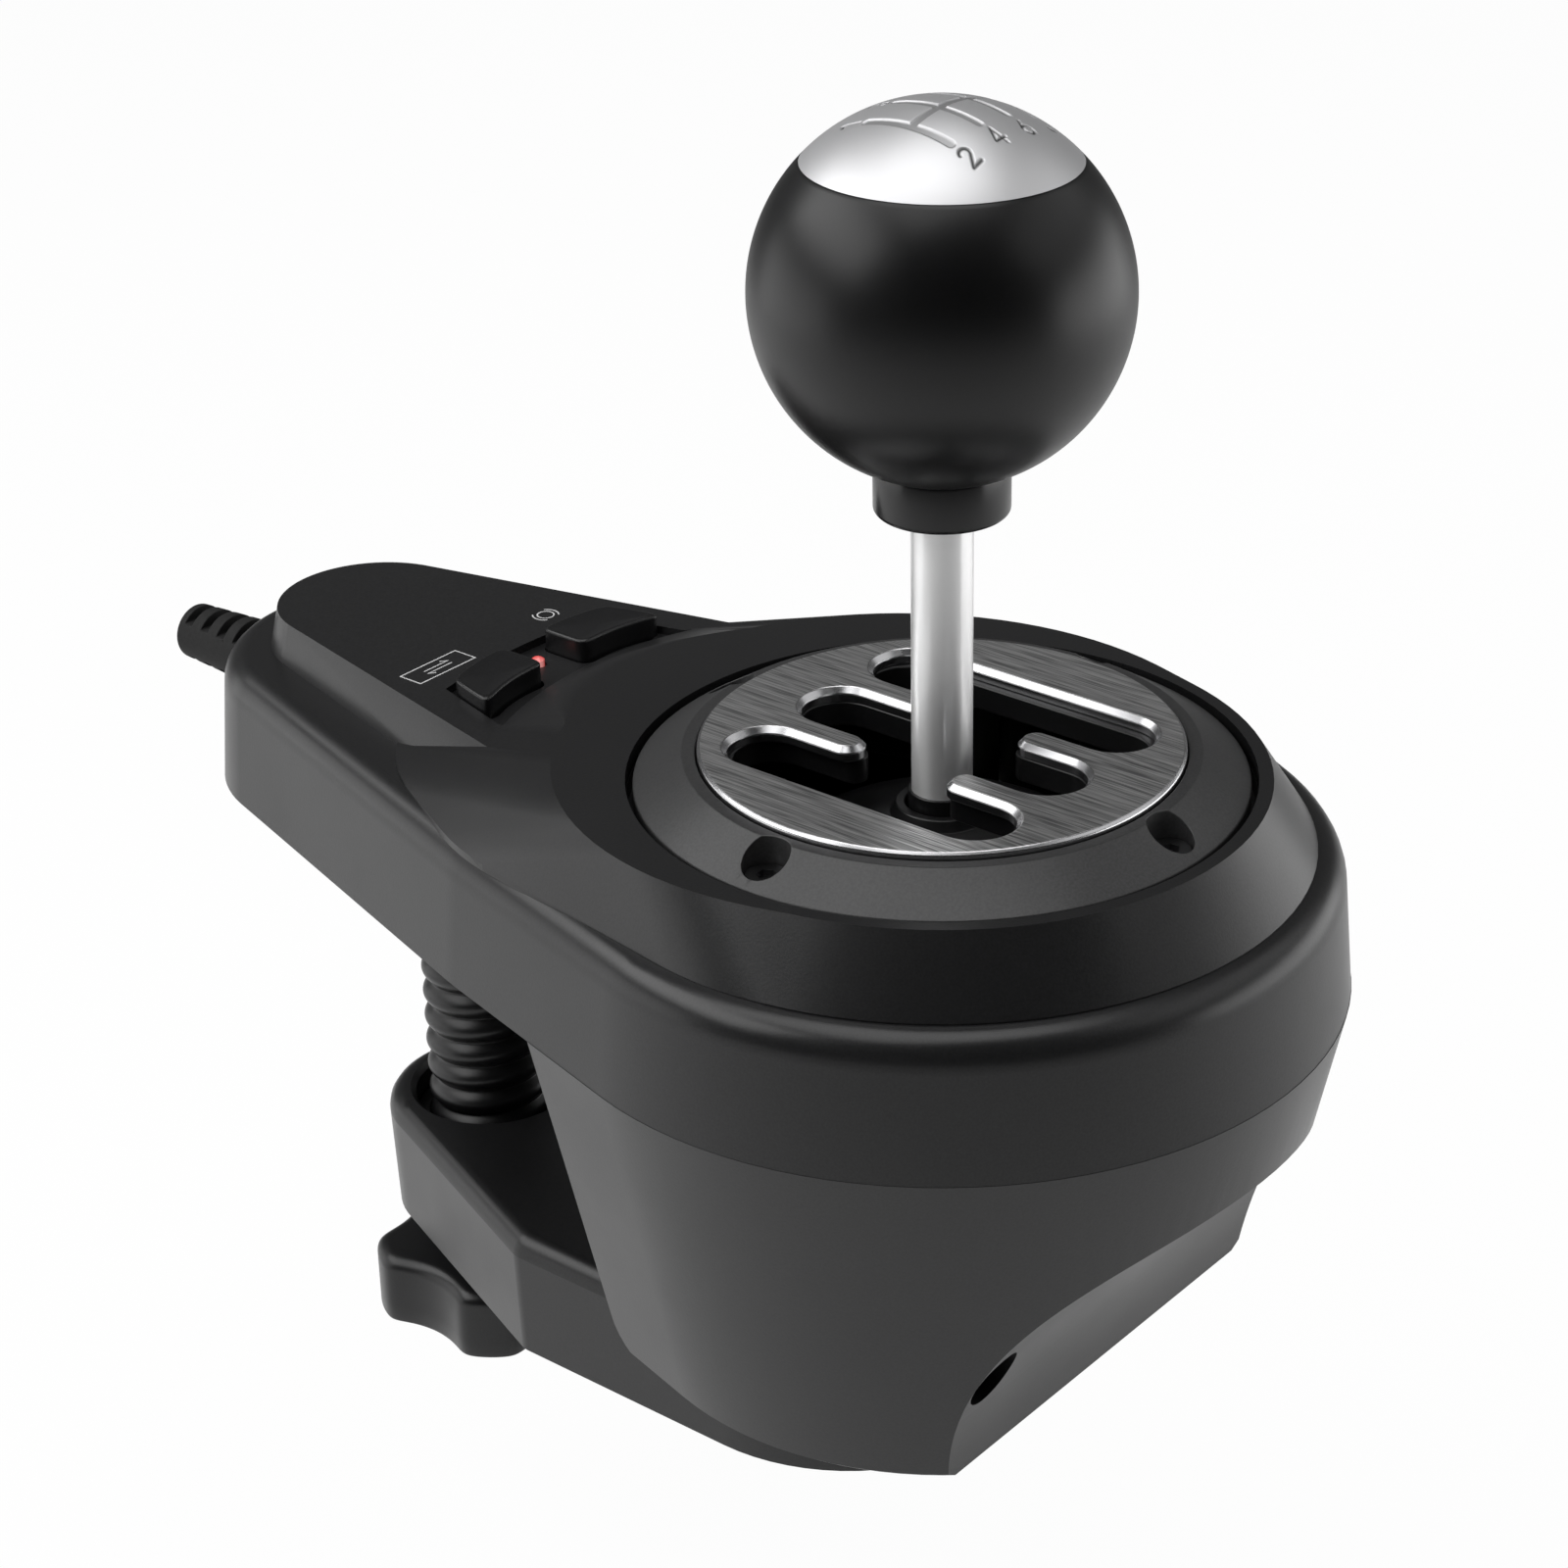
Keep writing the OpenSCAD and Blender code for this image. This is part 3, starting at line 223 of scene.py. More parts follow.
def makeWorld():
    # what lights the object is dim, what it mirrors fades, and the camera sees white
    world = bpy.data.worlds.new("studio")
    bpy.context.scene.world = world
    world.use_nodes = True
    tree = world.node_tree
    tree.nodes.clear()
    path = tree.nodes.new("ShaderNodeLightPath")
    ray = tree.nodes.new("ShaderNodeTexCoord")
    ahead = vectorNode(tree, "DOT_PRODUCT", ray.outputs["Generated"], (forward[0], forward[1], 0.0))
    fade = rangeNode(tree, ahead, *surround["turnOver"],
                     surround["glossyAhead"], surround["glossyBehind"])
    dim = addNode(tree, "ShaderNodeBackground", {"Color": white, "Strength": surround["light"]})
    mirror = addNode(tree, "ShaderNodeBackground", {"Color": white}, {"Strength": fade})
    plain = addNode(tree, "ShaderNodeBackground", {"Color": white})
    glossy, through = path.outputs["Is Glossy Ray"], path.outputs["Is Transmission Ray"]
    mirrored = mathNode(tree, "MAXIMUM", glossy, through)
    unseen = mixShader(tree, mirrored, dim, mirror)
    seen = mixShader(tree, path.outputs["Is Camera Ray"], unseen, plain)
    addNode(tree, "ShaderNodeOutputWorld", links={0: seen.outputs[0]})


def makeFloor():
    # the camera sees it nearly white; gloss and metal also see a shine on it that fades with the
    # distance from the lever, in which the way to the sides counts less
    half, z = surround["floorHalf"], cadBox[0][2] - surround["floorDrop"] * mm
    mesh = bpy.data.meshes.new("floor")
    corners = [(-half, -half, z), (half, -half, z), (half, half, z), (-half, half, z)]
    mesh.from_pydata(corners, [], [(0, 1, 2, 3)])
    floor = bpy.data.objects.new("floor", mesh)
    bpy.context.collection.objects.link(floor)
    paint = bpy.data.materials.new("paleFloor")
    paint.use_nodes = True
    tree = paint.node_tree
    tree.nodes.clear()
    path = tree.nodes.new("ShaderNodeLightPath")
    matt = addNode(tree, "ShaderNodeBsdfDiffuse", {"Color": (*[surround["floorColour"]] * 3, 1)})
    glow = addNode(tree, "ShaderNodeEmission", {"Color": white})
    share = mathNode(tree, "MULTIPLY", path.outputs["Is Camera Ray"], surround["floorGlow"])
    seen = mixShader(tree, share, matt, glow)
    coords = tree.nodes.new("ShaderNodeTexCoord")
    fromFoot = vectorNode(tree, "SUBTRACT", coords.outputs["Object"], (0.0, -place["leverY"] * mm, z))
    squares = []
    for axis in (right * surround["sideways"], levelAhead):
        reach = mathNode(tree, "ABSOLUTE", vectorNode(tree, "DOT_PRODUCT", fromFoot, axis))
        squares.append(mathNode(tree, "POWER", reach, 2.0))
    away = mathNode(tree, "SQRT", mathNode(tree, "ADD", *squares))
    fade = rangeNode(tree, away, surround["nearRadius"], surround["farRadius"],
                     surround["floorNear"], surround["floorFar"])
    strength = mathNode(tree, "MULTIPLY", fade, path.outputs["Is Glossy Ray"])
    shine = addNode(tree, "ShaderNodeEmission", links={"Strength": strength})
    both = addNode(tree, "ShaderNodeAddShader", links={0: seen.outputs[0], 1: shine.outputs[0]})
    addNode(tree, "ShaderNodeOutputMaterial", links={0: both.outputs[0]})
    mesh.materials.append(paint)
    print("floor and world")


# Shared effects, each a node group with named inputs and outputs

def newGroup(name, inputs, outputs):
    group = bpy.data.node_groups.new(name, "ShaderNodeTree")
    for label, kind, value in inputs:
        socket = group.interface.new_socket(name=label, in_out="INPUT", socket_type=kind)
        if value is not None:
            socket.default_value = value
    for label, kind in outputs:
        group.interface.new_socket(name=label, in_out="OUTPUT", socket_type=kind)
    return group, group.nodes.new("NodeGroupInput"), group.nodes.new("NodeGroupOutput")


grain = {
    "detail": 2.0,
    "slowScale": 22.0, "slowDetail": 4.0,   # the smears that handling leaves
    "plasticSmear": 0.25, "metalSmear": 0.08,
    "darker": 0.8, "lighter": 1.25,         # plastic runs between these shares of its colour
    "spread": 0.2,
    "bump": 0.0001,         # metres
}


def grainGroup():
    # moulded plastic: fine spark-eroded grain over slow unevenness, with faint handling smears
    group, into, out = newGroup("mouldedGrain", [
        ("Vector", "NodeSocketVector", None), ("Grain", "NodeSocketFloat", 2400.0),
        ("Smear", "NodeSocketFloat", 0.3)], [
        ("Height", "NodeSocketFloat"), ("Smears", "NodeSocketFloat")])
    vector = into.outputs["Vector"]
    fine = addNode(group, "ShaderNodeTexNoise", {"Detail": grain["detail"]},
                   {"Vector": vector, "Scale": into.outputs["Grain"]})
    slow = addNode(group, "ShaderNodeTexNoise",
                   {"Scale": grain["slowScale"], "Detail": grain["slowDetail"]}, {"Vector": vector})
    group.links.new(fine.outputs["Fac"], out.inputs["Height"])
    uneven = mathNode(group, "SUBTRACT", slow.outputs["Fac"], 0.5)
    smear = mathNode(group, "MULTIPLY", uneven, into.outputs["Smear"])
    group.links.new(smear, out.inputs["Smears"])
    return group


brush = {
    "strokes": ((1.0, 0.6), (0.3, 0.4)),    # each width of stroke: share of the scale, weight
    "detail": 3.0,
    "along": 75.0, "across": 3000.0,
    "depth": 0.55,
    "dark": 0.32, "light": 1.5,     # shares of the colour at the ends of a streak
    "spread": 0.11,
    "swing": 0.25, "swingSpread": 0.2,      # how much the roughness follows the streaks
    "bump": 0.00005,        # metres
    "edge": (0.52, 0.52, 0.53), "edgeRough": 0.26,
    "flat": 0.97, "leaning": 0.9,   # upright part of the surface's normal on a face and on an edge
}


def brushGroup():
    # straight brushing: noise drawn out along one axis, at two widths of stroke
    group, into, out = newGroup("brushedLines", [
        ("Vector", "NodeSocketVector", None), ("Along", "NodeSocketFloat", 40.0),
        ("Across", "NodeSocketFloat", 3000.0)], [
        ("Height", "NodeSocketFloat"), ("Streak", "NodeSocketFloat")])
    split = addNode(group, "ShaderNodeSeparateXYZ", links={0: into.outputs["Vector"]})
    along = mathNode(group, "MULTIPLY", split.outputs["Y"], into.outputs["Along"])
    waves = []
    for share, weight in brush["strokes"]:
        across = mathNode(group, "MULTIPLY", into.outputs["Across"], share)
        across = mathNode(group, "MULTIPLY", split.outputs["X"], across)
        join = addNode(group, "ShaderNodeCombineXYZ", links={"X": across, "Y": along})
        noise = addNode(group, "ShaderNodeTexNoise", {"Scale": 1.0, "Detail": brush["detail"]},
                        {"Vector": join.outputs[0]})
        waves.append(mathNode(group, "MULTIPLY", noise.outputs["Fac"], weight))
    both = mathNode(group, "ADD", *waves)
    group.links.new(both, out.inputs["Height"])
    group.links.new(both, out.inputs["Streak"])
    return group


grainGroupTree = grainGroup()
brushGroupTree = brushGroup()


# Materials

def startMaterial(name, values):
    paint = bpy.data.materials.new(name)
    paint.use_nodes = True
    tree = paint.node_tree
    shader = tree.nodes["Principled BSDF"]
    for socket, value in values.items():
        if isinstance(value, tuple):
            value = (*value, 1.0)
        shader.inputs[socket].default_value = value
    coords = tree.nodes.new("ShaderNodeTexCoord")
    return paint, tree, shader, coords


def placeGroup(tree, group, vector, values):
    node = tree.nodes.new("ShaderNodeGroup")
    node.node_tree = group
    tree.links.new(vector, node.inputs["Vector"])
    for socket, value in values.items():
        node.inputs[socket].default_value = value
    return node


def bump(tree, shader, height, strength, distance=grain["bump"]):
    values = {"Strength": strength, "Distance": distance}
    node = addNode(tree, "ShaderNodeBump", values, {"Height": height})
    tree.links.new(node.outputs[0], shader.inputs["Normal"])


def grainedMaterial(name, values, rough, scale, depth, smear):
    # the grain raises the surface and the smears change its roughness
    paint, tree, shader, coords = startMaterial(name, values)
    effect = placeGroup(tree, grainGroupTree, coords.outputs["Object"], {"Grain": scale, "Smear": smear})
    if rough is not None:
        roughness = mathNode(tree, "ADD", effect.outputs["Smears"], rough)
        tree.links.new(roughness, shader.inputs["Roughness"])
    bump(tree, shader, effect.outputs["Height"], depth)
    return paint, tree, shader, effect


def plasticMaterial(name, colour, rough, scale=2400.0, depth=0.12, level=0.5):
    values, smear = {"Specular IOR Level": level}, grain["plasticSmear"]
    paint, tree, shader, effect = grainedMaterial(name, values, rough, scale, depth, smear)
    darker = tuple(v * grain["darker"] for v in colour)
    lighter = tuple(min(1.0, v * grain["lighter"]) for v in colour)
    share = aroundHalf(tree, effect.outputs["Height"], 0.0, 1.0, grain["spread"])
    tree.links.new(blendColour(tree, share, darker, lighter), shader.inputs["Base Color"])
    return paint


def metalMaterial(name, colour, rough, scale=900.0, depth=0.05):
    values = {"Metallic": 1.0, "Base Color": colour}
    return grainedMaterial(name, values, rough, scale, depth, grain["metalSmear"])[0]


def brushedMaterial(name, colour, rough):
    # brushed flat faces with bright cut edges: what leans away from level is smooth
    paint, tree, shader, coords = startMaterial(name, {"Metallic": 1.0})
    lines = {"Along": brush["along"], "Across": brush["across"]}
    effect = placeGroup(tree, brushGroupTree, coords.outputs["Object"], lines)
    dark = tuple(v * brush["dark"] for v in colour)
    light = tuple(min(1.0, v * brush["light"]) for v in colour)
    share = aroundHalf(tree, effect.outputs["Streak"], 0.0, 1.0, brush["spread"])
    streaks = blendColour(tree, share, dark, light)
    split = addNode(tree, "ShaderNodeSeparateXYZ", links={0: coords.outputs["Normal"]})
    upright = mathNode(tree, "ABSOLUTE", split.outputs["Z"])
    lean = rangeNode(tree, upright, brush["flat"], brush["leaning"], 0.0, 1.0)
    tree.links.new(blendColour(tree, lean, streaks, brush["edge"]), shader.inputs["Base Color"])
    rougher, finer = rough * (1 + brush["swing"]), rough * (1 - brush["swing"])
    streakRough = aroundHalf(tree, effect.outputs["Streak"], rougher, finer, brush["swingSpread"])
    roughness = addNode(tree, "ShaderNodeMix", {3: brush["edgeRough"]}, {0: lean, 2: streakRough})
    tree.links.new(roughness.outputs[0], shader.inputs["Roughness"])
    level = mathNode(tree, "SUBTRACT", 1.0, lean)
    height = mathNode(tree, "MULTIPLY", effect.outputs["Height"], level)
    bump(tree, shader, height, brush["depth"], brush["bump"])
    return paint


def rodMaterial():
    # ground steel: the fine lines run round the rod, so what it mirrors is drawn out along it
    values = {"Metallic": 0.58, "Base Color": (1.0, 1.0, 1.0),
              "Anisotropic": 0.9, "Anisotropic Rotation": 0.25}
    paint, tree, shader = grainedMaterial(
        "rodGround", values, rough=0.30, scale=1800.0, depth=0.015, smear=0.06)[:3]
    around = tree.nodes.new("ShaderNodeTangent")
    around.direction_type, around.axis = "RADIAL", "Z"
    tree.links.new(around.outputs[0], shader.inputs["Tangent"])
    return paint


def capMaterial():
    # satin aluminium, with painted shade in the engraved lines and numerals that the mesh's layer marks
    paint, tree, shader = grainedMaterial(
        "capSatin", {"Metallic": 0.82}, rough=0.47, scale=5000.0, depth=0.05, smear=0.08)[:3]
    # painted shade: the engraved lines and numerals turn dark by the share in the mesh's layer
    cut = tree.nodes.new("ShaderNodeAttribute")
    cut.attribute_name = "cut"
    colour = blendColour(tree, cut.outputs["Fac"], (0.60, 0.60, 0.61), (0.06, 0.06, 0.06))
    tree.links.new(colour, shader.inputs["Base Color"])
    return paint


def lensMaterial():
    # lit from inside: palest where the dome faces the eye, red towards its rim
    values = {"Base Color": (0.55, 0.04, 0.04), "Roughness": 0.12, "Emission Strength": 0.55}
    paint, tree, shader = grainedMaterial(
        "lensRed", values, rough=None, scale=600.0, depth=0.05, smear=0.1)[:3]
    facing = addNode(tree, "ShaderNodeLayerWeight", {"Blend": 0.62})
    glow = blendColour(tree, facing.outputs["Facing"], (1.0, 0.50, 0.47), (0.40, 0.0, 0.0))
    tree.links.new(glow, shader.inputs["Emission Color"])
    return paint


finishes = {
    # slot: name, colour and roughness of its material; scale and depth of its grain, its gloss level
    "casing": plasticMaterial("casingBlack", (0.012, 0.012, 0.0125), 0.32, level=0.4),
    "casing_dark": plasticMaterial("innerBlack", (0.007, 0.007, 0.0075), 0.34, depth=0.06, level=0.4),
    "ring_plastic": plasticMaterial("ringBlack", (0.034, 0.034, 0.0345), 0.40, level=0.45),
    "knob_plastic": plasticMaterial("knobBlack", (0.003, 0.003, 0.0033), 0.38, 3000.0, 0.04, 0.36),
    "gate_metal": brushedMaterial("gateBrushed", (0.74, 0.74, 0.75), 0.38),
    "rod_metal": rodMaterial(),
    "cap_metal": capMaterial(),
    "rubber": plasticMaterial("rubberBlack", (0.010, 0.010, 0.010), 0.75, 1500.0, 0.25, 0.3),
    "screw_metal": metalMaterial("screwBlack", (0.16, 0.16, 0.165), 0.28),
    "spring_metal": metalMaterial("springSteel", (0.5, 0.5, 0.5), 0.3),
    "gimbal_metal": metalMaterial("castGrey", (0.22, 0.23, 0.24), 0.5, 700.0, 0.2),
    "dish_plastic": plasticMaterial("acetalCream", (0.55, 0.52, 0.46), 0.4),
    "board": plasticMaterial("boardGreen", (0.02, 0.10, 0.04), 0.35),
    "brass": metalMaterial("brassTurned", (0.62, 0.45, 0.18), 0.3),
    "magnet": metalMaterial("nickelPlate", (0.7, 0.7, 0.7), 0.15),
    "lens_red": lensMaterial(),
}
slotOf = {part["node"]: part["material_slot"] for part in frame["record"]["subparts"]}
bodyOf = {}
for bodyName, nodeNames in frame["record"]["behaviour"]["bodies"].items():
    for nodeName in nodeNames:
        bodyOf[nodeName] = bodyName
for nodeName, thing in frame["nodes"].items():
    thing.data.materials.clear()
    thing.data.materials.append(finishes[slotOf[nodeName]])
print("materials", len(finishes))


def addPiece(name, mesh, slotName, body, nodes, sharp, paint=None):
    # shades the mesh smooth up to the sharp angle, in degrees, and hands it over as a piece
    mesh.shade_smooth()
    mesh.set_sharp_from_angle(angle=math.radians(sharp))
    mesh.materials.append(paint or finishes[slotName])
    piece = bpy.data.objects.new(name, mesh)
    bpy.context.collection.objects.link(piece)
    if nodes:
        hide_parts(*nodes)
    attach(piece, body)
    return piece


# Dressed nodes: the CAD solid's own faces with its edges rounded over

edgeRound = {
    # node: radius of the rounded edges in mm
    "upper_shell": 0.45, "lower_shell": 0.5, "tail_cover": 0.3, "clamp_arm": 0.5,
    "gate_ring": 0.35, "gate_guide": 0.25, "clamp_nut": 0.3, "strain_relief": 0.25,
    "swivel_pad": 0.3, "upper_jaw_pad": 0.3, "pad_facing": 0.3, "gate_plate": 0.15,
    "dust_dome": 0.2, "rod_sleeve": 0.2, "ring_screws": 0.15,
}
skin = {
    "merge": 0.002,         # points closer than this become one, mm
    "level": 0.3,           # faces that meet within this many degrees are joined
    "sharp": 28.0, "rounded": 30.0,         # degrees from which an edge shades sharp, and is rounded
    "segments": 2,
    "wireSharp": 50.0,      # the same for the springs' wire
}


def joinedMesh(node, name, level=None):
    # a copy of the CAD solid's mesh with its loose triangles joined
    bm = bmesh.new()
    bm.from_mesh(frame["nodes"][node].data)
    bmesh.ops.remove_doubles(bm, verts=bm.verts, dist=skin["merge"] * mm)
    if level:
        bmesh.ops.dissolve_limit(bm, angle_limit=math.radians(level), verts=bm.verts, edges=bm.edges)
    mesh = bpy.data.meshes.new(name)
    bm.to_mesh(mesh)
    bm.free()
    return mesh


def dress(node, radius):
    name = node + "Skin"
    mesh = joinedMesh(node, name, skin["level"])
    piece = addPiece(name, mesh, slotOf[node], bodyOf[node], [node], skin["sharp"])
    soft = piece.modifiers.new("softEdges", "BEVEL")
    soft.width = radius * mm
    soft.segments = skin["segments"]
    soft.limit_method = "ANGLE"
    soft.angle_limit = math.radians(skin["rounded"])
    soft.use_clamp_overlap = True
    even = piece.modifiers.new("evenShading", "WEIGHTED_NORMAL")
    even.keep_sharp = True


for dressedNode, dressedRadius in edgeRound.items():
    dress(dressedNode, dressedRadius)
print("dressed", len(edgeRound))


# New pieces: grids of points, in the lever's frame in mm

fineEnd, wideEnd = 0.02, 0.05       # radii at which turned pieces end at their axis, mm
gridMerge = 0.0005          # points closer than this become one, mm


def gridPiece(name, points, slotName, body, nodes=(), sharp=35.0, layers=None, paint=None):
    # rows of points become bands of four-sided faces, the last column joined to the first
    rows, columns = points.shape[:2]
    index = np.arange(rows * columns).reshape(rows, columns)
    after = np.roll(index, -1, axis=1)
    faces = np.stack([index[:-1], after[:-1], after[1:], index[1:]], axis=-1).reshape(-1, 4)
    mesh = bpy.data.meshes.new(name)
    mesh.vertices.add(rows * columns)
    mesh.vertices.foreach_set("co", fromLever(points.reshape(-1, 3)).astype(np.float32).ravel())
    mesh.loops.add(faces.size)
    mesh.loops.foreach_set("vertex_index", faces.astype(np.int32).ravel())
    mesh.polygons.add(len(faces))
    mesh.polygons.foreach_set("loop_start", np.arange(0, faces.size, 4, dtype=np.int32))
    mesh.polygons.foreach_set("loop_total", np.full(len(faces), 4, dtype=np.int32))
    mesh.update(calc_edges=True)
    for layer, values in (layers or {}).items():
        data = mesh.attributes.new(layer, "FLOAT", "POINT").data
        data.foreach_set("value", values.astype(np.float32).ravel())
    bm = bmesh.new()
    bm.from_mesh(mesh)
    bmesh.ops.remove_doubles(bm, verts=bm.verts, dist=gridMerge * mm)
    bmesh.ops.recalc_face_normals(bm, faces=bm.faces)
    bm.to_mesh(mesh)
    bm.free()
    return addPiece(name, mesh, slotName, body, nodes, sharp, paint)


def fullTurn(count):
    return np.arange(count) * 2 * math.pi / count


def outline(turn, reach, height, centre=(0.0, 0.0), side=1):
    # points at the reach from the centre in each direction, all at one height or one height each
    height = np.broadcast_to(height, np.broadcast(turn, reach).shape)
    x, y = side * (centre[0] + reach * np.cos(turn)), centre[1] + reach * np.sin(turn)
    return np.stack([x, y, height], axis=-1)


def turned(profile, count, centre=(0.0, 0.0)):
    # a profile of (radius, height) turned about a vertical axis through the centre
    profile = np.asarray(profile, float)
    return outline(fullTurn(count), profile[:, :1], profile[:, 1:2], centre)


def arcPoints(centre, radius, start, end, steps=6):
    # centre plus the radius times cosine and sine, at even steps between two angles in degrees
    angle = np.radians(np.linspace(start, end, steps))
    return [(centre[0] + radius * math.cos(a), centre[1] + radius * math.sin(a)) for a in angle]


def rimRows(top, rim, last, steps):
    # inset and height over a rounded rim: rim less its cosine, and its sine up to the top
    angle = np.radians(np.linspace(0, last, steps))
    return [(rim * (1 - math.cos(a)), top - rim + rim * math.sin(a)) for a in angle]


def smoothStep(value, low, high):
    # three squares less two cubes of the share of the way from low to high
    share = np.clip((value - low) / (high - low), 0.0, 1.0)
    return share * share * (3.0 - 2.0 * share)


halvings = 26


def blendedReach(turn, inset, fieldsAt, blend, near, far):
    # halves the span between near and far until the blended largest field, which is the blend
    # times the log of the sum of exponentials, is the inset below zero in each direction
    near, far = np.full(turn.shape, near), np.full(turn.shape, far)
    for _ in range(halvings):
        middle = (near + far) / 2
        fields = np.stack(fieldsAt(middle)) / blend
        largest = fields.max(axis=0)
        inside = blend * (largest + np.log(np.exp(fields - largest).sum(axis=0))) < -inset
        near, far = np.where(inside, middle, near), np.where(inside, far, middle)
    return (near + far) / 2


springs = {
    # node: (joint that shortens it, its fixed end, by how much in mm)
    "return_spring": ("reverse_push", "low", 6.05),
    "plunger_spring": ("detent_slide", "high", 1.05),
}


def makeSprings():
    for node, (joint, fixed, travel) in springs.items():
        name = node + "Wire"
        mesh = joinedMesh(node, name)
        piece = addPiece(name, mesh, slotOf[node], bodyOf[node], [node], skin["wireSharp"])
        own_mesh(piece)


makeSprings()
print("springs", len(springs))

indicator = {
    "radius": 1.2,          # dome, mm
    "rise": 0.55,
    "collar": 0.3,          # straight wall under the dome
    "rings": 12, "sides": 48,
}


def makeIndicator():
    # a shallow dome on a short stem; its height falls with the square of the radius
    low, high = np.array(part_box("led_lens")) / mm
    centre = ((low[0] + high[0]) / 2, (low[1] + high[1]) / 2 + place["leverY"])
    foot, top = low[2] - place["plateTop"], high[2] - place["plateTop"]
    full, rise = indicator["radius"], indicator["rise"]
    radius = np.linspace(full, fineEnd, indicator["rings"])
    dome = np.column_stack([radius, top - rise * (radius / full) ** 2])
    stem = [(fineEnd, foot), (full, foot), (full, top - rise - indicator["collar"])]
    points = turned(np.vstack([stem, dome]), indicator["sides"], centre)
    gridPiece("indicatorDome", points, slotOf["led_lens"], bodyOf["led_lens"], ["led_lens"])


makeIndicator()

button = {
    "gap": 10.0,            # between the two buttons, mm
    "width": 17.5, "length": 11.0,
    "lean": 0.277,          # slope of the outer side
    "leanStart": 1.5,       # where its width is measured, ahead of the rear arc
    "arc": 82.5,            # radius of the rear edge's arc about the lever, less the length
    "bow": 26.0,            # radius of the hollow front edge
    "top": -7.6, "low": -14.5,
    "round": 0.55,          # radius of the rim of the top face
    "dish": 0.35,           # how far the top face sinks in its middle
    "corner": 0.85,         # how far the corners are blended
    "foot": ((0.05, 0.0), (0.0, 0.4)),      # inset and rise of the lowest rows
    "inward": (0.94, 0.01, 14),     # rows of the top face: first and last share of the way out, count
    "underneath": (0.01, 0.5),      # shares of the rows under the foot
    "rimTurn": 86, "rimSteps": 9, "farthest": 16.0, "sides": 220,
}


def buttonReach(turn, inset):
    # from the button's middle to its outline, drawn in by the inset: between two arcs about the
    # lever, outside the front hollow's circle, and between the straight inner and outer sides
    gap, width, length, lean = button["gap"], button["width"], button["length"], button["lean"]
    arc, bow = button["arc"], button["bow"]
    middle = (gap + width) / 2
    centreX, centreY = middle, math.sqrt((arc + length / 2) ** 2 - middle ** 2)
    swing = math.asin(middle / arc)
    back = math.sqrt(arc ** 2 - (width / 2) ** 2) - math.sqrt(bow ** 2 - (width / 2) ** 2)
    bowX, bowY = back * math.sin(swing), back * math.cos(swing)

    def fieldsAt(reach):
        x, y = centreX + reach * np.cos(turn), centreY + reach * np.sin(turn)
        outer = x + lean * (y - arc + button["leanStart"]) - gap / 2 - width
        return [np.hypot(x, y - length) - arc, arc - np.hypot(x, y), bow - np.hypot(x - bowX, y - bowY),
                gap / 2 - x, outer / math.hypot(1.0, lean)]

    reach = blendedReach(turn, inset, fieldsAt, button["corner"], 0.0, button["farthest"])
    return reach, (centreX, centreY)


def makeButton(node, side, body):
    # rows of the outline go up the wall, over the rounded rim and inwards across the dished top,
    # which sinks with one less the square of the share of the way out
    turn, top, low = fullTurn(button["sides"]), button["top"], button["low"]
    rows = [(inset, low + rise) for inset, rise in button["foot"]]
    rows += rimRows(top, button["round"], button["rimTurn"], button["rimSteps"])
    points = []
    for inset, height in rows:
        reach, centre = buttonReach(turn, inset)
        points.append(outline(turn, reach, height, centre, side))
    axis = np.array([side * centre[0], centre[1], top])
    last = points[-1]
    for share in np.linspace(*button["inward"]):
        row = axis + (last - axis) * share
        row[:, 2] = top - button["dish"] * (1.0 - share ** 2)
        points.append(row)
    foot = [axis + (points[0] - axis) * [share, share, 1.0] for share in button["underneath"]]
    gridPiece(node + "Cap", np.array(foot + points), slotOf[node], body, [node], sharp=40)


makeButton("range_button", -1, bodyOf["range_button"])
makeButton("park_button", 1, bodyOf["park_button"])
print("indicator and buttons")

knob = {
    "radius": 30.0,         # ball, mm
    "rise": 75.8,           # centre of the ball above the gate plate
    "rim": 20.8,            # edge of the cap above the ball's centre
    "gap": 0.16,            # groove between cap and ball
    "engraving": 0.28,      # depth of the engraved lines
    "soft": 0.16,           # half the width over which a line's wall goes down
    "lineWidth": 1.4,
    # the next value sets how dark the painted shade in the gear lines is, beside the numerals
    "lineShade": 0.42,        # how dark the lines are beside the numbers
    "numberWidth": 0.42,
    "numberHeight": 3.3,
    "numberGap": (1.5, 1.7),        # ahead of the upper line ends and behind the lower ones
    "dot": 0.75,            # radius of the dot that stands for reverse
    "columns": (-9.2, -2.3, 4.6, 11.5),
    "channel": -1.2,        # place of the cross line, towards the tail
    "lineEnds": (7.0, -8.6),
    "capInsets": (0.25, 0.12, 0.04, 0.02),  # its last rings, in from its edge
    "capLip": ((0.05, 0.02), (0.35, 0.0)),  # its underside: in from its edge, above its rim
    "shoulder": (0.25, 0.1),        # the ball's rounding into the groove: in and up
    "seat": (0.5, 0.02),            # the ball under the cap: in from the groove, down from the rim
    "capSides": 620, "capRings": 118, "ballSides": 192, "ballRings": 96,
}
numeralMiddle, numeralSteps = 0.3, 14       # half the width of a numeral's box, points on an arc


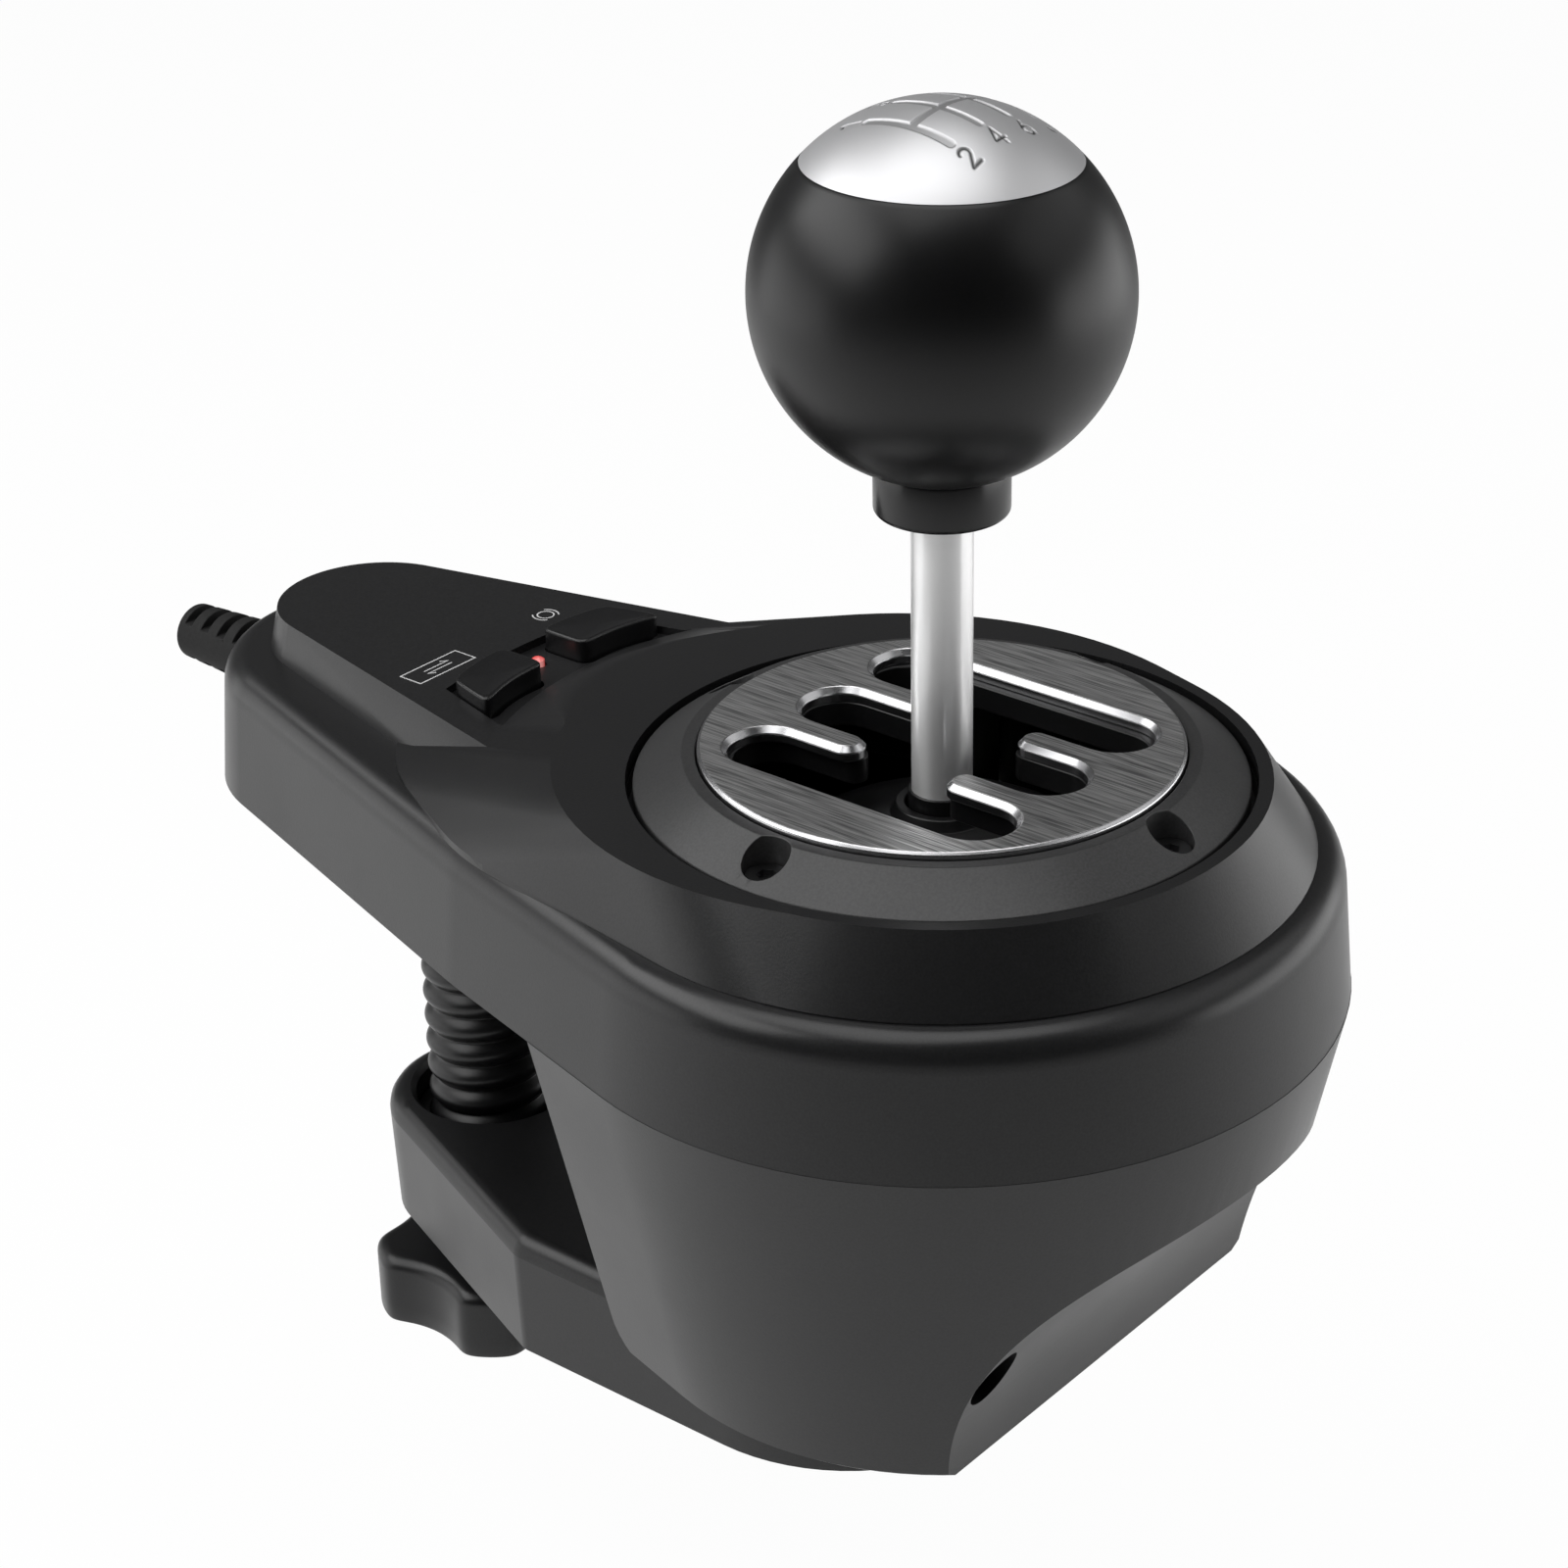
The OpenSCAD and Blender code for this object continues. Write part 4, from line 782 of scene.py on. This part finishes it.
def numeralStrokes():
    # each numeral as chains of points in a box 0.6 wide and 1 high
    steps = numeralSteps
    return {
        1: [[(0.08, 0.78), (0.34, 1.0), (0.34, 0.0)]],
        2: [arcPoints((0.3, 0.72), 0.27, 165, -35, steps) + [(0.03, 0.0), (0.6, 0.0)]],
        3: [arcPoints((0.28, 0.75), 0.24, 150, -90, steps),
            arcPoints((0.28, 0.26), 0.27, 90, -150, steps)],
        4: [[(0.44, 0.0), (0.44, 1.0), (0.0, 0.3), (0.62, 0.3)]],
        5: [[(0.54, 1.0), (0.12, 1.0), (0.07, 0.56)] + arcPoints((0.28, 0.31), 0.31, 128, -145, steps)],
        6: [[(0.46, 1.0), (0.06, 0.42)], arcPoints((0.31, 0.3), 0.29, 0, 360, steps + 10)],
    }


def chainDistance(x, y, chain):
    # distance in the plane from each point to the nearest part of a chain of straight lines
    chain = np.asarray(chain, float)
    best = np.full(x.shape, np.inf)
    for start, end in zip(chain[:-1], chain[1:]):
        step = end - start
        share = ((x - start[0]) * step[0] + (y - start[1]) * step[1]) / float(step @ step)
        share = np.clip(share, 0.0, 1.0)
        best = np.minimum(best, np.hypot(x - start[0] - share * step[0], y - start[1] - share * step[1]))
    return best


def engravedShare(x, y, chains, width, reach=np.inf):
    # one within half the width of any chain, falling smoothly to nothing beside it
    for chain in chains:
        reach = np.minimum(reach, chainDistance(x, y, chain) - width / 2)
    return 1.0 - smoothStep(reach, -knob["soft"], knob["soft"])


def capDepth(x, y):
    # depth of the engraving, and the painted shade darkening it: gear lines, numerals and a dot for
    # reverse
    columns, ends, across = knob["columns"], knob["lineEnds"], knob["channel"]
    lines = [[(columns[0], across), (columns[-1], across)]]
    lines += [[(column, ends[0]), (column, ends[1])] for column in columns[:3]]
    lines += [[(columns[3], across), (columns[3], ends[1])]]
    lineCut = engravedShare(x, y, lines, knob["lineWidth"])
    tall, (ahead, behind) = knob["numberHeight"], knob["numberGap"]
    strokes = []
    for number, chains in numeralStrokes().items():
        column = columns[(number - 1) // 2]
        base = ends[0] + ahead if number % 2 else ends[1] - behind - tall
        for chain in chains:
            strokes.append([(column + (px - numeralMiddle) * tall, base + py * tall) for px, py in chain])
    dot = np.hypot(x - columns[3], y - (ends[1] - behind - tall / 2)) - knob["dot"]
    numberCut = engravedShare(x, y, strokes, knob["numberWidth"], dot)
    deep = knob["engraving"] * np.maximum(lineCut, numberCut)
    return deep, np.maximum(lineCut * knob["lineShade"], numberCut)


def makeCap():
    # the ball's own surface over the rim, drawn towards the centre by the engraving's depth
    radius, rise, rim, sides = knob["radius"], knob["rise"], knob["rim"], knob["capSides"]
    edge = math.sqrt(radius ** 2 - rim ** 2)
    insets = [edge - inset for inset in knob["capInsets"]]
    rings = np.linspace(fineEnd, insets[0], knob["capRings"])
    rings = np.concatenate([rings, insets[1:]])[:, None]
    turn = fullTurn(sides)
    x, y = rings * np.cos(turn), rings * np.sin(turn)
    # the second share is painted shade in the engraving, carried to the material by the mesh's layer
    deep, inkAndShade = capDepth(x, y)
    shrink = (radius - deep) / radius
    z = rise + np.sqrt(radius ** 2 - rings ** 2) * shrink
    face = np.stack([x * shrink, y * shrink, z], axis=-1)
    lip = [(edge - inset, rise + rim + up) for inset, up in knob["capLip"]]
    under = turned([*lip, (wideEnd, rise + rim)], sides)
    dark = np.concatenate([inkAndShade, np.zeros((len(under), sides))])
    whole = np.concatenate([face, under])
    gridPiece("engravedCap", whole, "cap_metal", "lever", ["knob_cap"], sharp=60, layers={"cut": dark})


collar = {
    "radius": 10.9,         # mm
    "bore": 5.0,
    "low": 40.0,            # above the gate plate
    "round": 1.0, "toe": 1.5, "dish": 0.9,  # of its foot, whose underside is hollow
    "bevel": (0.15, 0.6),   # of its upper edge: in and down
    "lap": 2.1,             # how far it reaches up past the ball's lowest point
    "seat": 10.95,          # radius at which the ball meets it
    "seatRise": 3.0,
    "sides": 128,
}


def makeBall():
    # an arc from the collar to the groove, turned about the rod and closed in under the cap; the
    # collar covers its open foot
    radius, rise, seat = knob["radius"], knob["rise"], collar["seat"]
    rim = knob["rim"] - knob["gap"]
    low = math.degrees(math.asin(-math.sqrt(radius ** 2 - seat ** 2) / radius))
    high = math.degrees(math.asin(rim / radius))
    (shoulderIn, shoulderUp), (seatIn, seatDown) = knob["shoulder"], knob["seat"]
    edge, under = math.sqrt(radius ** 2 - rim ** 2), rise + knob["rim"] - seatDown
    profile = [(seat, rise - radius + collar["seatRise"])]
    profile += arcPoints((0.0, rise), radius, low, high, knob["ballRings"])
    profile += [(edge - shoulderIn, rise + rim + shoulderUp), (edge - seatIn, under), (wideEnd, under)]
    points = turned(profile, knob["ballSides"])
    gridPiece("knobBall", points, "knob_plastic", "lever", ["knob_ball"], sharp=50)


def makeCollar():
    # the outside of a sleeve with a rounded foot, turned about the rod, which fills its bore
    radius, bore, low, bend = collar["radius"], collar["bore"], collar["low"], collar["round"]
    top = knob["rise"] - knob["radius"] + collar["lap"]
    profile = [(bore, low + collar["dish"]), (radius - collar["toe"], low), (radius - bend, low)]
    profile += arcPoints((radius - bend, low + bend), bend, -90, 0)
    profile += [(radius, top - collar["bevel"][1]), (radius - collar["bevel"][0], top), (bore, top)]
    paint = plasticMaterial("collarBlack", (0.007, 0.007, 0.0075), 0.24, depth=0.04, level=0.4)
    points = turned(profile, collar["sides"])
    gridPiece("knobCollar", points, "ring_plastic", "lever", ["knob_collar"], paint=paint)


rod = {
    "radius": 5.0,          # mm
    "chamfer": 0.5,         # at the foot
    "grooveRadius": 4.0, "groove": (0.9, 2.0),      # for the circlip, above the foot
    "plain": (4.0, 1.0),    # even rings start this far above the foot and end this far below the top
    "rings": 40, "sides": 96,
}


def makeRod():
    # a straight profile with the circlip's groove, turned about the axis
    low, high = (corner[2] / mm - place["plateTop"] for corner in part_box("lever_rod"))
    radius, thin, chamfer = rod["radius"], rod["grooveRadius"], rod["chamfer"]
    (start, end), (above, below) = rod["groove"], rod["plain"]
    profile = [(fineEnd, low), (radius - chamfer, low), (radius, low + chamfer), (radius, low + start)]
    profile += [(thin, low + start), (thin, low + end), (radius, low + end)]
    profile += [(radius, z) for z in np.linspace(low + above, high - below, rod["rings"])]
    profile += [(radius, high), (fineEnd, high)]
    gridPiece("leverRod", turned(profile, rod["sides"]), "rod_metal", "lever", ["lever_rod"], sharp=30)


makeCap()
makeBall()
makeCollar()
makeRod()
print("knob and rod")

clampScrew = {
    "crest": 11.9, "root": 9.9,     # radii of the thread, mm
    "pitch": 5.2,
    "low": -137.0, "high": -58.0,
    "start": (4.0, 7.0),    # the thread grows between these heights over the low end
    "runOut": (3.0, 0.8),   # and fades between these under the high end
    "floor": 0.035, "power": 0.4,   # the smaller, the sharper the root and the broader the crest
    "margin": 0.05,         # of the thread's rows from both ends
    "foot": 9.6, "footRise": 0.03, "lip": 0.1,      # radius of the end face, and its bevel
    "neck": 6.0, "neckRise": 3.2,
    "rows": 520, "sides": 128,
}


def makeScrew():
    # a right-handed thread: the radius swells with a power of the squared cosine of a half turn
    # for each pitch of height, less the share of the turn
    low, high, root = clampScrew["low"], clampScrew["high"], clampScrew["root"]
    floor, neck, sides = clampScrew["floor"], clampScrew["neck"], clampScrew["sides"]
    margin, lip = clampScrew["margin"], clampScrew["lip"]
    heights = np.linspace(low + margin, high - margin, clampScrew["rows"])[:, None]
    turn = fullTurn(sides)
    phase = (heights - low) / clampScrew["pitch"] - turn / (2 * math.pi)
    wave = ((np.cos(math.pi * phase) ** 2 + floor) / (1 + floor)) ** clampScrew["power"]
    grow = smoothStep(heights, *(low + rise for rise in clampScrew["start"]))
    fade = 1.0 - smoothStep(heights, *(high - drop for drop in clampScrew["runOut"]))
    reach = root + (clampScrew["crest"] - root) * wave * grow * fade
    centre, tip = (0.0, place["leverY"]), high + clampScrew["neckRise"]
    foot = [(wideEnd, low), (clampScrew["foot"], low), (root + lip, low + clampScrew["footRise"])]
    head = [(root - lip, high), (neck, high), (neck, tip), (wideEnd, tip)]
    foot, head = turned(foot, sides, centre), turned(head, sides, centre)
    whole = np.concatenate([foot, outline(turn, reach, heights, centre), head])
    gridPiece("threadedScrew", whole, "casing_dark", "clamp_spindle", ["clamp_screw"], sharp=50)


star = {
    "radius": 24.2,         # mm
    "lobes": 5, "turn": 36.0,
    "hollow": 17.0, "depth": 4.6,   # radius of each hollow between the lobes, and how far it cuts in
    "blend": 0.9,
    "top": -137.0, "height": 14.0,
    "rim": 2.6,             # radius of the rounded upper edge
    "rimTurn": 88, "rimSteps": 12,
    "foot": ((0.8, 0.0), (0.25, 0.2), (0.0, 0.8), (0.0, 4.0)),      # inset and rise of the lowest rows
    "inward": (0.8, 0.6, 0.4, 0.2, 0.01),   # rows of the upper face, as shares of the way out
    "socket": 9.0, "socketDepth": 5.0,
    "core": 4.0, "beyond": 1.0,     # the outline lies between these, from the axis and past the radius
    "sides": 300,
}


def starReach(turn, inset):
    # from the axis to the outline, a round disc less the hollows, drawn in by the inset
    radius, hollow = star["radius"], star["hollow"]
    out = radius + hollow - star["depth"]
    spots = np.radians(star["turn"]) + fullTurn(star["lobes"])

    def fieldsAt(reach):
        x, y = reach * np.cos(turn), reach * np.sin(turn)
        cuts = [hollow - np.hypot(x - out * math.cos(a), y - out * math.sin(a)) for a in spots]
        return [reach - radius, *cuts]

    return blendedReach(turn, inset, fieldsAt, star["blend"], star["core"], radius + star["beyond"])


def makeStar():
    # rows of the outline go up from the foot, over the rounded rim and straight in to the axis
    sides, top, centre = star["sides"], star["top"], (0.0, place["leverY"])
    low = top - star["height"]
    turn = fullTurn(sides)
    rows = [(inset, low + rise) for inset, rise in star["foot"]]
    rows += rimRows(top, star["rim"], star["rimTurn"], star["rimSteps"])
    points = [outline(turn, starReach(turn, inset), height, centre) for inset, height in rows]
    axis = np.array([*centre, 0.0])
    last = points[-1]
    for share in star["inward"]:
        row = axis + (last - axis) * share
        row[:, 2] = top
        points.append(row)
    socket, deep = star["socket"], low + star["socketDepth"]
    under = turned([(wideEnd, deep), (socket, deep), (socket, low)], sides, centre)
    whole = np.concatenate([under, np.array(points)])
    gridPiece("starKnob", whole, "casing_dark", "clamp_spindle", ["star_knob"], sharp=40)


makeScrew()
makeStar()
print("clamp screw and star knob")

panelMarks = {
    "height": -10.28,       # just above the tail panel, mm
    "thick": 0.03,
    "line": 0.26,
    "box": (-20.6, -7.0, 97.9, 102.8),      # left, right, near and far side
    "arrow": (2.9, 0.55),   # half its length, and how far each of the two lies off the middle
    "barb": (1.1, 0.85),
    "circle": (14.1, 100.6),
    "ring": 1.5, "bracket": 2.35,   # radii of the ring and of the two arcs beside it
    "bend": 0.4,            # smallest cosine that widens a line at a bend
    "inkAndShade": 0.62,
}


def unitRows(rows):
    return rows / np.linalg.norm(rows, axis=1, keepdims=True)


def ribbonEdges(chain, width, closed):
    # left and right edges of a flat line of even width along a chain of points: half the width
    # along the mean normal, stretched at a bend by one over its cosine
    chain = np.asarray(chain, float)
    after = np.roll(chain, -1, axis=0) - chain
    before = chain - np.roll(chain, 1, axis=0)
    if not closed:
        after[-1], before[0] = before[-1], after[0]
    after, before = unitRows(after), unitRows(before)
    normal = unitRows(np.stack([-(after[:, 1] + before[:, 1]), after[:, 0] + before[:, 0]], axis=1))
    bend = np.sum(normal * np.stack([-after[:, 1], after[:, 0]], axis=1), axis=1)
    shift = normal * (width / 2 / np.clip(np.abs(bend), panelMarks["bend"], 1.0))[:, None]
    return chain + shift, chain - shift


def markPiece(name, chain, closed, paint):
    # a thin bar: the two edges at the lower and upper height, closed round the line
    left, right = ribbonEdges(chain, panelMarks["line"], closed)
    low, high = panelMarks["height"] - panelMarks["thick"], panelMarks["height"]
    corners = ((left, low), (left, high), (right, high), (right, low))
    rows = np.stack([np.column_stack([edge, np.full(len(edge), z)]) for edge, z in corners], axis=1)
    if closed:
        rows = np.concatenate([rows, rows[:1]])
    gridPiece(name, rows, "casing", "root", sharp=30, paint=paint)


def makeMarks():
    # a box with two arrows, and a ring between two arcs
    left, right, low, high = panelMarks["box"]
    half, offset = panelMarks["arrow"]
    back, drop = panelMarks["barb"]
    across, middle = (left + right) / 2, (low + high) / 2
    chains = [([(left, low), (right, low), (right, high), (left, high)], True)]
    for way in (1.0, -1.0):
        y, tip = middle + way * offset, across + way * half
        arrow = [(across - way * half, y), (tip, y), (tip - way * back, y + way * drop)]
        chains.append((arrow, False))
    centre, bracket = panelMarks["circle"], panelMarks["bracket"]
    chains.append((arcPoints(centre, panelMarks["ring"], 0, 350, 36), True))
    chains.append((arcPoints(centre, bracket, -50, 50, 16), False))
    chains.append((arcPoints(centre, bracket, 130, 230, 16), False))
    paint = plasticMaterial("inkWhite", (panelMarks["inkAndShade"],) * 3, 0.5, depth=0.02)
    for number, (chain, closed) in enumerate(chains):
        markPiece("panelMark%d" % number, chain, closed, paint)


makeMarks()
print("panel marks")

makeCamera()
makeLamps()
makeWorld()
makeFloor()
bpy.context.scene.view_settings.view_transform = "Standard"
